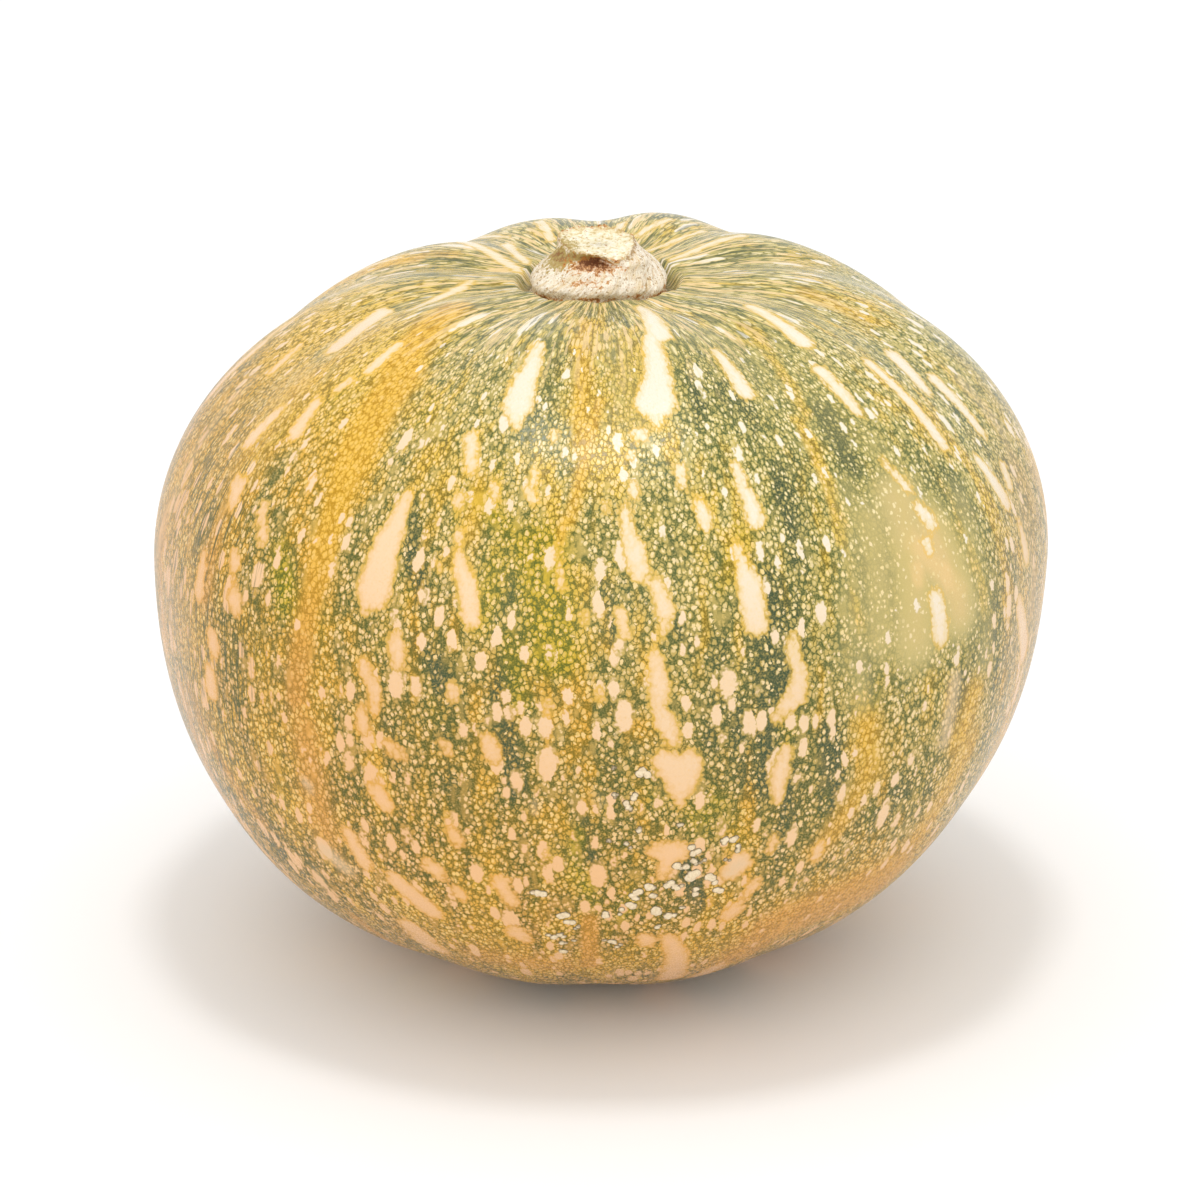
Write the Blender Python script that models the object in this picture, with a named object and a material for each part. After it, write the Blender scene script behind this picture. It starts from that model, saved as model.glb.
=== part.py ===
"""Kabocha squash, as picked: a ribbed fruit and the corky stub of its stem.

The fruit stands on its blossom end with the stem up. Units are metres, +Z is up, and the origin is on the
surface that the fruit stands on, under the stem. -Y is the side that a viewer in front sees.
"""

import math

import bpy

MM = 0.001

# The fruit's main sizes.
BELLY_RADIUS = 100 * MM
CROWN_RISE = 72.5 * MM  # belly to crown, before the stem hollow is sunk
BASE_DROP = 93 * MM  # belly to blossom end, before the blossom hollow is sunk
CROWN_FULLNESS = 2.07  # 2 is an ellipse, and more is squarer
BASE_FULLNESS = 2.37

# The hollow round the stem, with the flat seat that the stem grows from.
STEM_HOLLOW_DEPTH = 11.4 * MM
STEM_HOLLOW_REACH = 33.5 * MM
SEAT_MARGIN = 1.3 * MM  # the seat's width outside the stem's foot
SEAT_EDGE = 2.6 * MM  # the rise from the seat to the rind round it
COLLAR_RISE = 0.9 * MM  # the rind swells a little round the stem's foot
COLLAR_OUT = 4 * MM
COLLAR_WIDTH = 5 * MM

# The hollow at the blossom end, with the round scar that the flower left.
BLOSSOM_HOLLOW_DEPTH = 6 * MM
BLOSSOM_HOLLOW_REACH = 23 * MM
SCAR_RADIUS = 7 * MM
SCAR_EDGE = 2.5 * MM
SCAR_RISE = 1.2 * MM

# What the fruit's own weight presses flat where it stands.
PRESSED_FLAT = 0.5 * MM
BLOSSOM_RING_RADIUS = 26 * MM  # where the underside reaches lowest

# Ten ribs, with a furrow between each two. One furrow faces the viewer.
RIBS = 10
FIRST_FURROW = math.radians(270)
FURROW_SHARPNESS = 1.3
SHOULDER_FURROW = 0.024  # depth as a share of the radius
BELLY_FURROW = 0.3  # of the shoulder's depth
SHOULDER_POLAR = 42  # degrees from the top
SHOULDER_SPREAD = 32

# Swells and flats of this one fruit: longitude and degrees from the top, width in degrees, height in mm.
SWELLS = (
    (10, 65, 25, 1.5),
    (45, 40, 25, 1.5),
    (75, 30, 20, 2.5),  # the highest part of the crown, at the back
    (110, 40, 25, 1.0),
    (170, 75, 25, -0.5),
    (195, 120, 25, -1.5),
    (230, 145, 25, -2.0),
    (310, 145, 25, -2.0),
    (340, 125, 25, -3.5),  # the flat at the lower right
    (350, 100, 20, -0.5),
)
SWELLS_FADE = 150  # degrees from the top: from here on they fade, so that the underside stands level
SWELLS_END = 164

# The stem stub. Each row is its outline in one direction: longitude, then radius and height above the foot of
# the cut face's edge, the neck, the flank, the flare and the foot, in mm.
STEM_GAP = 0.3 * MM  # between the stem's foot and its seat
STEM_OUTLINES = (
    (0, (7.6, 11.6), (9.8, 8.7), (13.2, 5.4), (14.7, 3.0), (14.3, 1.0)),
    (36, (8.2, 12.0), (9.6, 8.9), (12.6, 5.6), (14.3, 3.1), (13.9, 1.0)),
    (90, (8.9, 12.5), (9.2, 9.2), (11.9, 5.6), (13.9, 3.0), (13.6, 1.0)),
    (144, (10.6, 12.1), (10.2, 9.0), (12.9, 5.6), (14.6, 3.0), (14.2, 1.0)),
    (180, (8.6, 11.5), (9.8, 8.6), (13.4, 5.5), (15.1, 3.0), (15.0, 1.0)),
    (222, (8.2, 10.9), (8.8, 8.2), (12.2, 5.3), (14.2, 2.9), (14.1, 1.0)),
    (270, (7.6, 10.7), (6.6, 8.5), (10.3, 5.4), (11.7, 2.8), (11.2, 1.0)),
    (304, (9.0, 10.6), (8.7, 8.2), (11.3, 5.2), (12.6, 2.8), (12.3, 1.0)),
    (330, (8.0, 11.0), (9.6, 8.4), (12.6, 5.2), (14.2, 2.9), (14.0, 1.0)),
)
CUT_MIDDLE_HEIGHT = 11.5 * MM
CUT_FACE_SHARE = 0.9  # where the cut face starts to round off, as a share of its edge's radius
FOOT_SHARE = 0.94  # the flat foot's radius, as a share of the outline's last radius

# How finely the two solids are faceted.
FRUIT_SEGMENTS = 100
FRUIT_RINGS = 47
POLE_CROWDING = 0.6  # how much closer the rings lie towards the two ends
STEM_SEGMENTS = 50
STEM_RINGS = 27

# Colours, as red, green and blue in linear light.
RIND_COLOUR = (0.42, 0.36, 0.10, 1)
RIND_ROUGHNESS = 0.4
CORK_COLOUR = (0.70, 0.58, 0.36, 1)
CORK_ROUGHNESS = 0.8


def smoothstep(low, high, value):
    """0 below low, 1 above high, and a smooth rise between them. low may be the larger."""
    share = min(max((value - low) / (high - low), 0.0), 1.0)
    return share * share * (3 - 2 * share)


def bell(distance, width):
    return math.exp(-((distance / width) ** 2))


def body_reach(polar):
    """Distance from the belly's centre to the plain body, at an angle from the top."""
    upper = polar < math.pi / 2
    height = CROWN_RISE if upper else BASE_DROP
    fullness = CROWN_FULLNESS if upper else BASE_FULLNESS
    across = (math.sin(polar) / BELLY_RADIUS) ** fullness
    along = (abs(math.cos(polar)) / height) ** fullness
    return (across + along) ** (-1 / fullness)


def furrow_share(longitude, polar):
    """How much of the reach a furrow takes away. Furrows are deepest on the shoulder and fade at both ends."""
    valley = (0.5 + 0.5 * math.cos(RIBS * (longitude - FIRST_FURROW))) ** FURROW_SHARPNESS
    degrees = math.degrees(polar)
    shoulder = bell(degrees - SHOULDER_POLAR, SHOULDER_SPREAD)
    depth = SHOULDER_FURROW * (BELLY_FURROW + (1 - BELLY_FURROW) * shoulder)
    return valley * depth * smoothstep(0, 25, degrees) * smoothstep(180, 160, degrees)


def swell_height(longitude, polar):
    total = 0.0
    for swell_longitude, swell_polar, width, height in SWELLS:
        there = math.radians(swell_polar)
        turn = longitude - math.radians(swell_longitude)
        cosine = math.cos(polar) * math.cos(there) + math.sin(polar) * math.sin(there) * math.cos(turn)
        away = math.degrees(math.acos(min(max(cosine, -1.0), 1.0)))
        total += height * MM * bell(away, width)
    return total * smoothstep(SWELLS_END, SWELLS_FADE, math.degrees(polar))


def underside(radius):
    """Height of the plain body's underside over the surface that it stands on, at a radius from the axis."""
    across = (radius / BELLY_RADIUS) ** BASE_FULLNESS
    dome = BASE_DROP * (1 - (1 - across) ** (1 / BASE_FULLNESS))
    return dome + BLOSSOM_HOLLOW_DEPTH * bell(radius, BLOSSOM_HOLLOW_REACH)


BELLY_HEIGHT = BASE_DROP - underside(BLOSSOM_RING_RADIUS) - PRESSED_FLAT
SEAT_HEIGHT = BELLY_HEIGHT + CROWN_RISE - STEM_HOLLOW_DEPTH


def curve(before, start, end, after, t):
    """A smooth curve through start and end, with t from 0 to 1 between them."""
    tail = 2 * before - 5 * start + 4 * end - after + t * (3 * (start - end) + after - before)
    return start + 0.5 * t * (end - before + t * tail)


def stem_outline(longitude):
    """The stem's outline in a direction: radius and height from the cut face's middle to the foot's middle."""
    degrees = math.degrees(longitude) % 360
    count = len(STEM_OUTLINES)
    index = max(i for i in range(count) if STEM_OUTLINES[i][0] <= degrees)
    rows = [STEM_OUTLINES[(index + step) % count] for step in (-1, 0, 1, 2)]
    width = (rows[2][0] - rows[1][0]) % 360
    t = (degrees - rows[1][0]) / width
    points = []
    for place in range(1, len(rows[0])):
        points.append([curve(*(row[place][axis] for row in rows), t) * MM for axis in (0, 1)])
    edge, foot = points[0], points[-1]
    face = [edge[0] * CUT_FACE_SHARE, edge[1] + (CUT_MIDDLE_HEIGHT - edge[1]) * (1 - CUT_FACE_SHARE)]
    halfway = [face[0] / 2, (face[1] + CUT_MIDDLE_HEIGHT) / 2]
    return [[0, CUT_MIDDLE_HEIGHT], halfway, face, *points, [foot[0] * FOOT_SHARE, 0], [0, 0]]


def fruit_point(longitude, polar):
    """The point of the fruit's skin in a direction from the belly's centre."""
    reach = body_reach(polar) * (1 - furrow_share(longitude, polar)) + swell_height(longitude, polar)
    radius = reach * math.sin(polar)
    height = BELLY_HEIGHT + reach * math.cos(polar)
    if polar < math.pi / 2:
        foot = stem_outline(longitude)[-3][0]
        height -= STEM_HOLLOW_DEPTH * bell(radius, STEM_HOLLOW_REACH)
        height += COLLAR_RISE * bell(radius - foot - COLLAR_OUT, COLLAR_WIDTH)
        on_seat = smoothstep(foot + SEAT_MARGIN + SEAT_EDGE, foot + SEAT_MARGIN, radius)
        height += (SEAT_HEIGHT - height) * on_seat
    else:
        height += BLOSSOM_HOLLOW_DEPTH * bell(radius, BLOSSOM_HOLLOW_REACH)
        height -= SCAR_RISE * smoothstep(SCAR_RADIUS, SCAR_RADIUS - SCAR_EDGE, radius)
        height = max(height, 0.0)
    return radius * math.cos(longitude), radius * math.sin(longitude), height


def stem_point(longitude, share):
    """The point of the stem's surface at a turn about its axis and a share of the way along its outline."""
    outline = stem_outline(longitude)
    place = share * (len(outline) - 1)
    index = min(int(place), len(outline) - 2)
    four = [outline[min(max(index + step, 0), len(outline) - 1)] for step in (-1, 0, 1, 2)]
    radius, rise = (max(curve(*(point[axis] for point in four), place - index), 0.0) for axis in (0, 1))
    return radius * math.cos(longitude), radius * math.sin(longitude), SEAT_HEIGHT + STEM_GAP + rise


def skin(name, colour, roughness):
    material = bpy.data.materials.new(name)
    material.use_nodes = True
    shader = material.node_tree.nodes["Principled BSDF"]
    shader.inputs["Base Color"].default_value = colour
    shader.inputs["Roughness"].default_value = roughness
    shader.inputs["Metallic"].default_value = 0.0
    return material


def shaped_sphere(name, segments, rings, point_at, material, collection):
    """A sphere primitive whose vertices move to point_at(longitude, share of the way from top to bottom)."""
    bpy.ops.mesh.primitive_uv_sphere_add(segments=segments, ring_count=rings, radius=1)
    piece = bpy.context.object
    piece.name = name
    for vertex in piece.data.vertices:
        longitude = math.atan2(vertex.co.y, vertex.co.x)
        share = math.acos(min(max(vertex.co.z, -1.0), 1.0)) / math.pi
        vertex.co = point_at(longitude, share)
    piece.data.materials.append(material)
    piece.data.shade_smooth()
    for holder in piece.users_collection:
        holder.objects.unlink(piece)
    collection.objects.link(piece)
    return piece


def fruit_at(longitude, share):
    crowded = share - POLE_CROWDING * math.sin(2 * math.pi * share) / (2 * math.pi)
    return fruit_point(longitude, math.pi * crowded)


def main():
    for old in list(bpy.data.objects):
        bpy.data.objects.remove(old)
    squash = bpy.data.collections.new("kabocha_squash")
    bpy.context.scene.collection.children.link(squash)
    rind = skin("rind", RIND_COLOUR, RIND_ROUGHNESS)
    cork = skin("stem_cork", CORK_COLOUR, CORK_ROUGHNESS)
    shaped_sphere("fruit", FRUIT_SEGMENTS, FRUIT_RINGS, fruit_at, rind, squash)
    shaped_sphere("stem", STEM_SEGMENTS, STEM_RINGS, stem_point, cork, squash)


main()
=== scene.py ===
# %% [markdown]
# # Kabocha squash
#
# A ripe squash with ten soft ribs. A net of green lines covers its rind, over pale spots, cream blotches and
# amber bands, and a corky stub of stem sits in the hollow on top. This lesson dresses the plain solids of the
# imported model with fine meshes and with materials made only of nodes.
#
# The solids come first. They are the frame that everything else has to fit.

# %% Load the plain solids
import math
import random

import bmesh
import bpy
import numpy as np
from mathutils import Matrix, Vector
from mathutils.bvhtree import BVHTree


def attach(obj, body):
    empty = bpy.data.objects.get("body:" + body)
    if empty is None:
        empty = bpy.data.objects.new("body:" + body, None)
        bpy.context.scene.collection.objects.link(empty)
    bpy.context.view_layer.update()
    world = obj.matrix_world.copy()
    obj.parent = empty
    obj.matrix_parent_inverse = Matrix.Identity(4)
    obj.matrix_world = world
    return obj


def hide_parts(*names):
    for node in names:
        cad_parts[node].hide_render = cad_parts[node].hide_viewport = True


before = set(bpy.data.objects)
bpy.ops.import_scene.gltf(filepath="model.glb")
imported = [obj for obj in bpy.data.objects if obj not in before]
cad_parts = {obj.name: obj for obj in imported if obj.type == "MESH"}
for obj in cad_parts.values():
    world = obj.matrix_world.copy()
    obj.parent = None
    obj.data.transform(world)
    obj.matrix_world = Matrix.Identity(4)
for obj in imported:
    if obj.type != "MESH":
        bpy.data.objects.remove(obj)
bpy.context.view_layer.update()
MM = 0.001

# %% [markdown]
# ## The shape of the fruit
#
# A squash is a body of revolution that grew in ribs. The plain body is a superellipse, taller below the belly
# than above it. Furrows take a share of its reach away, and a few broad swells make it this one fruit. The
# same sizes drive the plain solid, so the fine rind lands on it.

# %% Sizes of the fruit
BELLY_RADIUS = 100 * MM
CROWN_RISE = 72.5 * MM
BASE_DROP = 93 * MM
CROWN_FULLNESS = 2.07
BASE_FULLNESS = 2.37
STEM_HOLLOW_DEPTH = 11.4 * MM
STEM_HOLLOW_REACH = 33.5 * MM
SEAT_MARGIN = 1.3 * MM
SEAT_EDGE = 2.6 * MM
COLLAR_RISE = 0.9 * MM
COLLAR_OUT = 4 * MM
COLLAR_WIDTH = 5 * MM
BLOSSOM_HOLLOW_DEPTH = 6 * MM
BLOSSOM_HOLLOW_REACH = 23 * MM
BLOSSOM_RING_RADIUS = 26 * MM
SCAR_RADIUS = 7 * MM
SCAR_EDGE = 2.5 * MM
SCAR_RISE = 1.2 * MM
PRESSED_FLAT = 0.5 * MM
RIBS = 10
FIRST_FURROW = math.radians(270)
FURROW_SHARPNESS = 1.3
SHOULDER_FURROW = 0.024
BELLY_FURROW = 0.3
SHOULDER_POLAR = 42
SHOULDER_SPREAD = 32
SWELLS = (  # longitude and degrees from the top, width in degrees, height in mm
    (10, 65, 25, 1.5),
    (45, 40, 25, 1.5),
    (75, 30, 20, 2.5),
    (110, 40, 25, 1.0),
    (170, 75, 25, -0.5),
    (195, 120, 25, -1.5),
    (230, 145, 25, -2.0),
    (310, 145, 25, -2.0),
    (340, 125, 25, -3.5),
    (350, 100, 20, -0.5),
)
SWELLS_FADE = 150
SWELLS_END = 164
print(RIBS, "ribs and", len(SWELLS), "swells on a body", 2 * BELLY_RADIUS / MM, "mm wide")


# %% Body, furrows and swells
def smoothstep(low, high, value):
    """0 at low, 1 at high, and a smooth rise between them. low may be the larger."""
    share = np.clip((value - low) / (high - low), 0.0, 1.0)
    return share * share * (3 - 2 * share)


def bell(distance, width):
    return np.exp(-((distance / width) ** 2))


def body_reach(polar):
    upper = polar < math.pi / 2
    height = np.where(upper, CROWN_RISE, BASE_DROP)
    fullness = np.where(upper, CROWN_FULLNESS, BASE_FULLNESS)
    across = (np.sin(polar) / BELLY_RADIUS) ** fullness
    along = (np.abs(np.cos(polar)) / height) ** fullness
    return (across + along) ** (-1 / fullness)


def furrow_share(longitude, polar):
    valley = (0.5 + 0.5 * np.cos(RIBS * (longitude - FIRST_FURROW))) ** FURROW_SHARPNESS
    degrees = np.degrees(polar)
    shoulder = bell(degrees - SHOULDER_POLAR, SHOULDER_SPREAD)
    depth = SHOULDER_FURROW * (BELLY_FURROW + (1 - BELLY_FURROW) * shoulder)
    return valley * depth * smoothstep(0, 25, degrees) * smoothstep(180, 160, degrees)


def swell_height(longitude, polar):
    total = 0.0
    for swell_longitude, swell_polar, width, height in SWELLS:
        there = math.radians(swell_polar)
        turn = longitude - math.radians(swell_longitude)
        cosine = np.cos(polar) * math.cos(there) + np.sin(polar) * math.sin(there) * np.cos(turn)
        total = total + height * MM * bell(np.degrees(np.arccos(np.clip(cosine, -1, 1))), width)
    return total * smoothstep(SWELLS_END, SWELLS_FADE, np.degrees(polar))


def underside(radius):
    across = (radius / BELLY_RADIUS) ** BASE_FULLNESS
    dome = BASE_DROP * (1 - (1 - across) ** (1 / BASE_FULLNESS))
    return dome + BLOSSOM_HOLLOW_DEPTH * bell(radius, BLOSSOM_HOLLOW_REACH)


BELLY_HEIGHT = BASE_DROP - underside(BLOSSOM_RING_RADIUS) - PRESSED_FLAT
SEAT_HEIGHT = BELLY_HEIGHT + CROWN_RISE - STEM_HOLLOW_DEPTH
print("belly at %.1f mm, stem seat at %.1f mm" % (BELLY_HEIGHT / MM, SEAT_HEIGHT / MM))

# %% [markdown]
# ## The outline of the stem
#
# The stub isn't round. On the left its neck drops straight and then flares, on the right it slopes all the way
# down, and in front a hollow sits under the lip of the cut face. So its outline is given in nine directions, and
# smooth curves join them, both round the stem and down its side. The rind's seat follows the outline of the foot.

# %% The stem in nine directions
STEM_OUTLINES = (  # longitude, then radius and height in mm of the cut edge, neck, flank, flare and foot
    (0, (7.6, 11.6), (9.8, 8.7), (13.2, 5.4), (14.7, 3.0), (14.3, 1.0)),
    (36, (8.2, 12.0), (9.6, 8.9), (12.6, 5.6), (14.3, 3.1), (13.9, 1.0)),
    (90, (8.9, 12.5), (9.2, 9.2), (11.9, 5.6), (13.9, 3.0), (13.6, 1.0)),
    (144, (10.6, 12.1), (10.2, 9.0), (12.9, 5.6), (14.6, 3.0), (14.2, 1.0)),
    (180, (8.6, 11.5), (9.8, 8.6), (13.4, 5.5), (15.1, 3.0), (15.0, 1.0)),
    (222, (8.2, 10.9), (8.8, 8.2), (12.2, 5.3), (14.2, 2.9), (14.1, 1.0)),
    (270, (7.6, 10.7), (6.6, 8.5), (10.3, 5.4), (11.7, 2.8), (11.2, 1.0)),
    (304, (9.0, 10.6), (8.7, 8.2), (11.3, 5.2), (12.6, 2.8), (12.3, 1.0)),
    (330, (8.0, 11.0), (9.6, 8.4), (12.6, 5.2), (14.2, 2.9), (14.0, 1.0)),
)
CUT_MIDDLE_HEIGHT = 11.5 * MM
CUT_FACE_SHARE = 0.9
FOOT_SHARE = 0.94
STEM_GAP = 0.3 * MM


def curve(before, start, end, after, t):
    """A smooth curve through start and end, with t from 0 to 1 between them."""
    tail = 2 * before - 5 * start + 4 * end - after + t * (3 * (start - end) + after - before)
    return start + 0.5 * t * (end - before + t * tail)


def stem_outline(longitude):
    """Radius and height of the stem's outline at each longitude, from the cut's middle to the foot's middle."""
    degrees = np.degrees(longitude) % 360
    starts = np.array([row[0] for row in STEM_OUTLINES])
    rows = np.array([row[1:] for row in STEM_OUTLINES]) * MM
    count = len(starts)
    index = np.searchsorted(starts, degrees, side="right") - 1
    width = (starts[(index + 1) % count] - starts[index]) % 360
    t = ((degrees - starts[index]) / width)[:, None, None]
    points = curve(*(rows[(index + step) % count] for step in (-1, 0, 1, 2)), t)
    edge, foot = points[:, 0], points[:, -1]
    middle = np.zeros_like(edge)
    middle[:, 1] = CUT_MIDDLE_HEIGHT
    face = middle + (edge - middle) * [CUT_FACE_SHARE, 1 - CUT_FACE_SHARE]
    face[:, 1] = edge[:, 1] + (CUT_MIDDLE_HEIGHT - edge[:, 1]) * (1 - CUT_FACE_SHARE)
    base = np.stack([foot[:, 0] * FOOT_SHARE, np.zeros(len(foot))], 1)
    rim = [points[:, place] for place in range(points.shape[1])]
    return np.stack([middle, (middle + face) / 2, face, *rim, base, np.zeros_like(base)], 1)


print("stem foot reaches %.1f mm in front" % (stem_outline(np.array([math.radians(270)]))[0, -3, 0] / MM))

# %% [markdown]
# ## The rind's mesh
#
# The rind could be a subdivided copy of the solid, but that would keep the solid's facets. A dense UV sphere
# whose points are moved by the same formula is smooth, and its rings lie closer together towards both ends,
# where the hollows are. Close to the stem the skin is drawn into fine folds, too small for the solid.


# %% The point of the skin in a direction
RIND_SEGMENTS = 128
RIND_RINGS = 48
FINER_CUTS = 3
POLE_CROWDING = 0.5
RIND_INSET = 0.9988  # keeps the rounder rind inside the box of the solid
FOLD_DEPTH = 0.22 * MM
FOLD_COUNTS = (23, 37, 61)


def folds(longitude, radius):
    waves = sum(np.cos(count * longitude + 1.7 * count) for count in FOLD_COUNTS) / len(FOLD_COUNTS)
    return FOLD_DEPTH * waves * smoothstep(42 * MM, 20 * MM, radius) * smoothstep(14 * MM, 18 * MM, radius)


def fruit_points(longitude, polar):
    """Points of the skin, one row each, in directions from the belly's centre."""
    reach = body_reach(polar) * (1 - furrow_share(longitude, polar)) + swell_height(longitude, polar)
    radius = reach * np.sin(polar)
    level = BELLY_HEIGHT + reach * np.cos(polar)
    foot = stem_outline(longitude)[:, -3, 0]
    crown = level - STEM_HOLLOW_DEPTH * bell(radius, STEM_HOLLOW_REACH)
    crown += COLLAR_RISE * bell(radius - foot - COLLAR_OUT, COLLAR_WIDTH) + folds(longitude, radius)
    on_seat = smoothstep(foot + SEAT_MARGIN + SEAT_EDGE, foot + SEAT_MARGIN, radius)
    crown += (SEAT_HEIGHT - crown) * on_seat
    base = level + BLOSSOM_HOLLOW_DEPTH * bell(radius, BLOSSOM_HOLLOW_REACH)
    base -= SCAR_RISE * smoothstep(SCAR_RADIUS, SCAR_RADIUS - SCAR_EDGE, radius)
    height = np.where(polar < math.pi / 2, crown, np.maximum(base, 0.0))
    return np.stack([radius * np.cos(longitude), radius * np.sin(longitude), height], 1)


# %% A sphere whose points are moved by a formula
def mesh_of(name, shape):
    mesh = bpy.data.meshes.new(name)
    shape.to_mesh(mesh)
    shape.free()
    return mesh


def piece_of(name, data):
    """An object in the scene with a mesh, a camera or a lamp as its data."""
    piece = bpy.data.objects.new(name, data)
    bpy.context.scene.collection.objects.link(piece)
    return piece


def points_of(mesh):
    points = np.zeros(len(mesh.vertices) * 3)
    mesh.vertices.foreach_get("co", points)
    return points.reshape(-1, 3)


def shaped_sphere(name, segments, rings, points_at):
    """A closed mesh from a sphere. points_at(longitude, share from top to bottom) gives its points."""
    shape = bmesh.new()
    bmesh.ops.create_uvsphere(shape, u_segments=segments, v_segments=rings, radius=1)
    bmesh.ops.subdivide_edges(shape, edges=shape.edges, cuts=FINER_CUTS, use_grid_fill=True)
    mesh = mesh_of(name, shape)
    ball = points_of(mesh)
    ball /= np.linalg.norm(ball, axis=1)[:, None]
    longitude = np.arctan2(ball[:, 1], ball[:, 0])
    share = np.arccos(np.clip(ball[:, 2], -1, 1)) / math.pi
    mesh.vertices.foreach_set("co", points_at(longitude, share).ravel())
    mesh.shade_smooth()
    mesh.update()
    return piece_of(name, mesh), longitude, share


def polar_of(share):
    return math.pi * (share - POLE_CROWDING * np.sin(2 * math.pi * share) / (2 * math.pi))


def rind_points_at(longitude, share):
    return fruit_points(longitude, polar_of(share)) * [RIND_INSET, RIND_INSET, 1]


rind, rind_longitude, rind_share = shaped_sphere("rind", RIND_SEGMENTS, RIND_RINGS, rind_points_at)
rind_polar = polar_of(rind_share)
rind_tree = BVHTree.FromPolygons(
    [v.co for v in rind.data.vertices], [p.vertices for p in rind.data.polygons], epsilon=0
)
gaps = [rind_tree.find_nearest(v.co)[3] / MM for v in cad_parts["fruit"].data.vertices]
print("rind", len(rind.data.vertices), "points, from the solid's corners at most %.2f mm" % max(gaps))

# %% [markdown]
# ## The camera
#
# The photograph looks down on the squash at 20 degrees from about a metre away. The camera comes early,
# because marks on the rind are placed where the photograph shows them: a ray goes from the camera through a
# pixel of the 1200 by 1200 frame and stops on the rind, so each mark stays on the skin from any side.

# %% Camera and rays
PHOTO_SIDE = 1200
CAMERA_ELEVATION = math.radians(20)
CAMERA_DISTANCE = 1.0
AIM_HEIGHT = 78.5 * MM
FOCAL_PIXELS = 4455
SENSOR_WIDTH = 36

camera_data = bpy.data.cameras.new("camera")
camera_data.sensor_width = SENSOR_WIDTH
camera_data.lens = FOCAL_PIXELS / PHOTO_SIDE * SENSOR_WIDTH
camera = piece_of("camera", camera_data)
bpy.context.scene.camera = camera
towards_camera = Vector((0, -math.cos(CAMERA_ELEVATION), math.sin(CAMERA_ELEVATION)))
screen_up = Vector((0, math.sin(CAMERA_ELEVATION), math.cos(CAMERA_ELEVATION)))
camera.location = Vector((0, 0, AIM_HEIGHT)) + towards_camera * CAMERA_DISTANCE
camera.rotation_euler = (math.pi / 2 - CAMERA_ELEVATION, 0, 0)


def on_rind(x, y):
    """The point of the rind behind a pixel of the photograph."""
    right, up = (x - PHOTO_SIDE / 2) / FOCAL_PIXELS, (PHOTO_SIDE / 2 - y) / FOCAL_PIXELS
    ray = Vector((right, 0, 0)) + screen_up * up - towards_camera
    found = rind_tree.ray_cast(camera.location, ray.normalized())[0]
    return found if found is not None else rind_tree.find_nearest(camera.location + ray * CAMERA_DISTANCE)[0]


print("the middle of the photograph is", [round(v / MM, 1) for v in on_rind(600, 600)], "mm")

# %% [markdown]
# ## How the pattern runs
#
# The cells of the rind's net are round at the belly, and near both ends they are drawn out along the ribs.
# A plain 3-D pattern would ignore that. So each point of the mesh gets a "grain" coordinate: a barrel that is
# as wide as the fruit at the belly but closes in more slowly than the fruit does, and whose height grows more
# slowly near the ends. A pattern in this space is narrow across and long along the ribs there. The crown
# has a narrower barrel of its own, so that its drawn-out cells don't get too thin as they near the stem.

# %% Grain coordinate
BARREL_END = 0.72
CROWN_DRAW = (15 * MM, 95 * MM)
BASE_DRAW = (10 * MM, 85 * MM)
END_RATE = 0.36

track = np.linspace(0, math.pi, 2000)
track_radius = body_reach(track) * np.sin(track)
track_height = body_reach(track) * np.cos(track)
steps = np.hypot(np.diff(track_radius), np.diff(track_height))
track_arc = np.concatenate([[0], np.cumsum(steps)])
from_base = track_arc[-1] - track_arc
spread = smoothstep(*CROWN_DRAW, track_arc) * smoothstep(*BASE_DRAW, from_base)
barrel_rate = np.gradient(BELLY_RADIUS * (BARREL_END + (1 - BARREL_END) * spread), track_arc)
whole_rate = END_RATE + (1 - END_RATE) * spread
rise_rate = np.sqrt(np.maximum(whole_rate**2 - barrel_rate**2, 0.02))
track_rise = np.concatenate([[0], np.cumsum(rise_rate[:-1] * steps)])

rind_arc = np.interp(rind_polar, track, track_arc)
rind_spread = np.interp(rind_polar, track, spread)
barrel = BELLY_RADIUS * (BARREL_END + (1 - BARREL_END) * rind_spread) / MM
rise = -np.interp(rind_polar, track, track_rise) / MM
grain = np.stack([barrel * np.cos(rind_longitude), barrel * np.sin(rind_longitude), rise], 1)
print("the meridian is %.0f mm long, and %.0f mm in the grain" % (track_arc[-1] / MM, -rise.min()))


def store(piece, name, values):
    """Keeps a value or a vector for each point of a mesh, for its material to read."""
    kind, field = ("FLOAT_VECTOR", "vector") if values.ndim == 2 else ("FLOAT", "value")
    layer = piece.data.attributes.new(name, kind, "POINT")
    layer.data.foreach_set(field, np.ascontiguousarray(values, dtype=np.float32).ravel())


CROWN_BARREL = 54
CROWN_RATE = 0.34
CROWN_ZONE = (28 * MM, 78 * MM)
arc_down = -rind_arc * CROWN_RATE / MM
crown_grain = [CROWN_BARREL * np.cos(rind_longitude), CROWN_BARREL * np.sin(rind_longitude), arc_down]
store(rind, "grain", grain)
store(rind, "crown_grain", np.stack(crown_grain, 1))
store(rind, "crown", 1 - smoothstep(*CROWN_ZONE, rind_arc))

# %% [markdown]
# ## Marks on the rind
#
# A mark is a stroke with a round brush. It has two ends, a width at each, and it lies on the skin, so distances
# are measured along the skin: turns about the axis as lengths round the fruit, and the way down a meridian as
# an arc. Blotches are kept as a distance from their edge, which the material cuts off sharply and roughens.
# Zones of colour are kept as soft values from 0 to 1.


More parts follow.
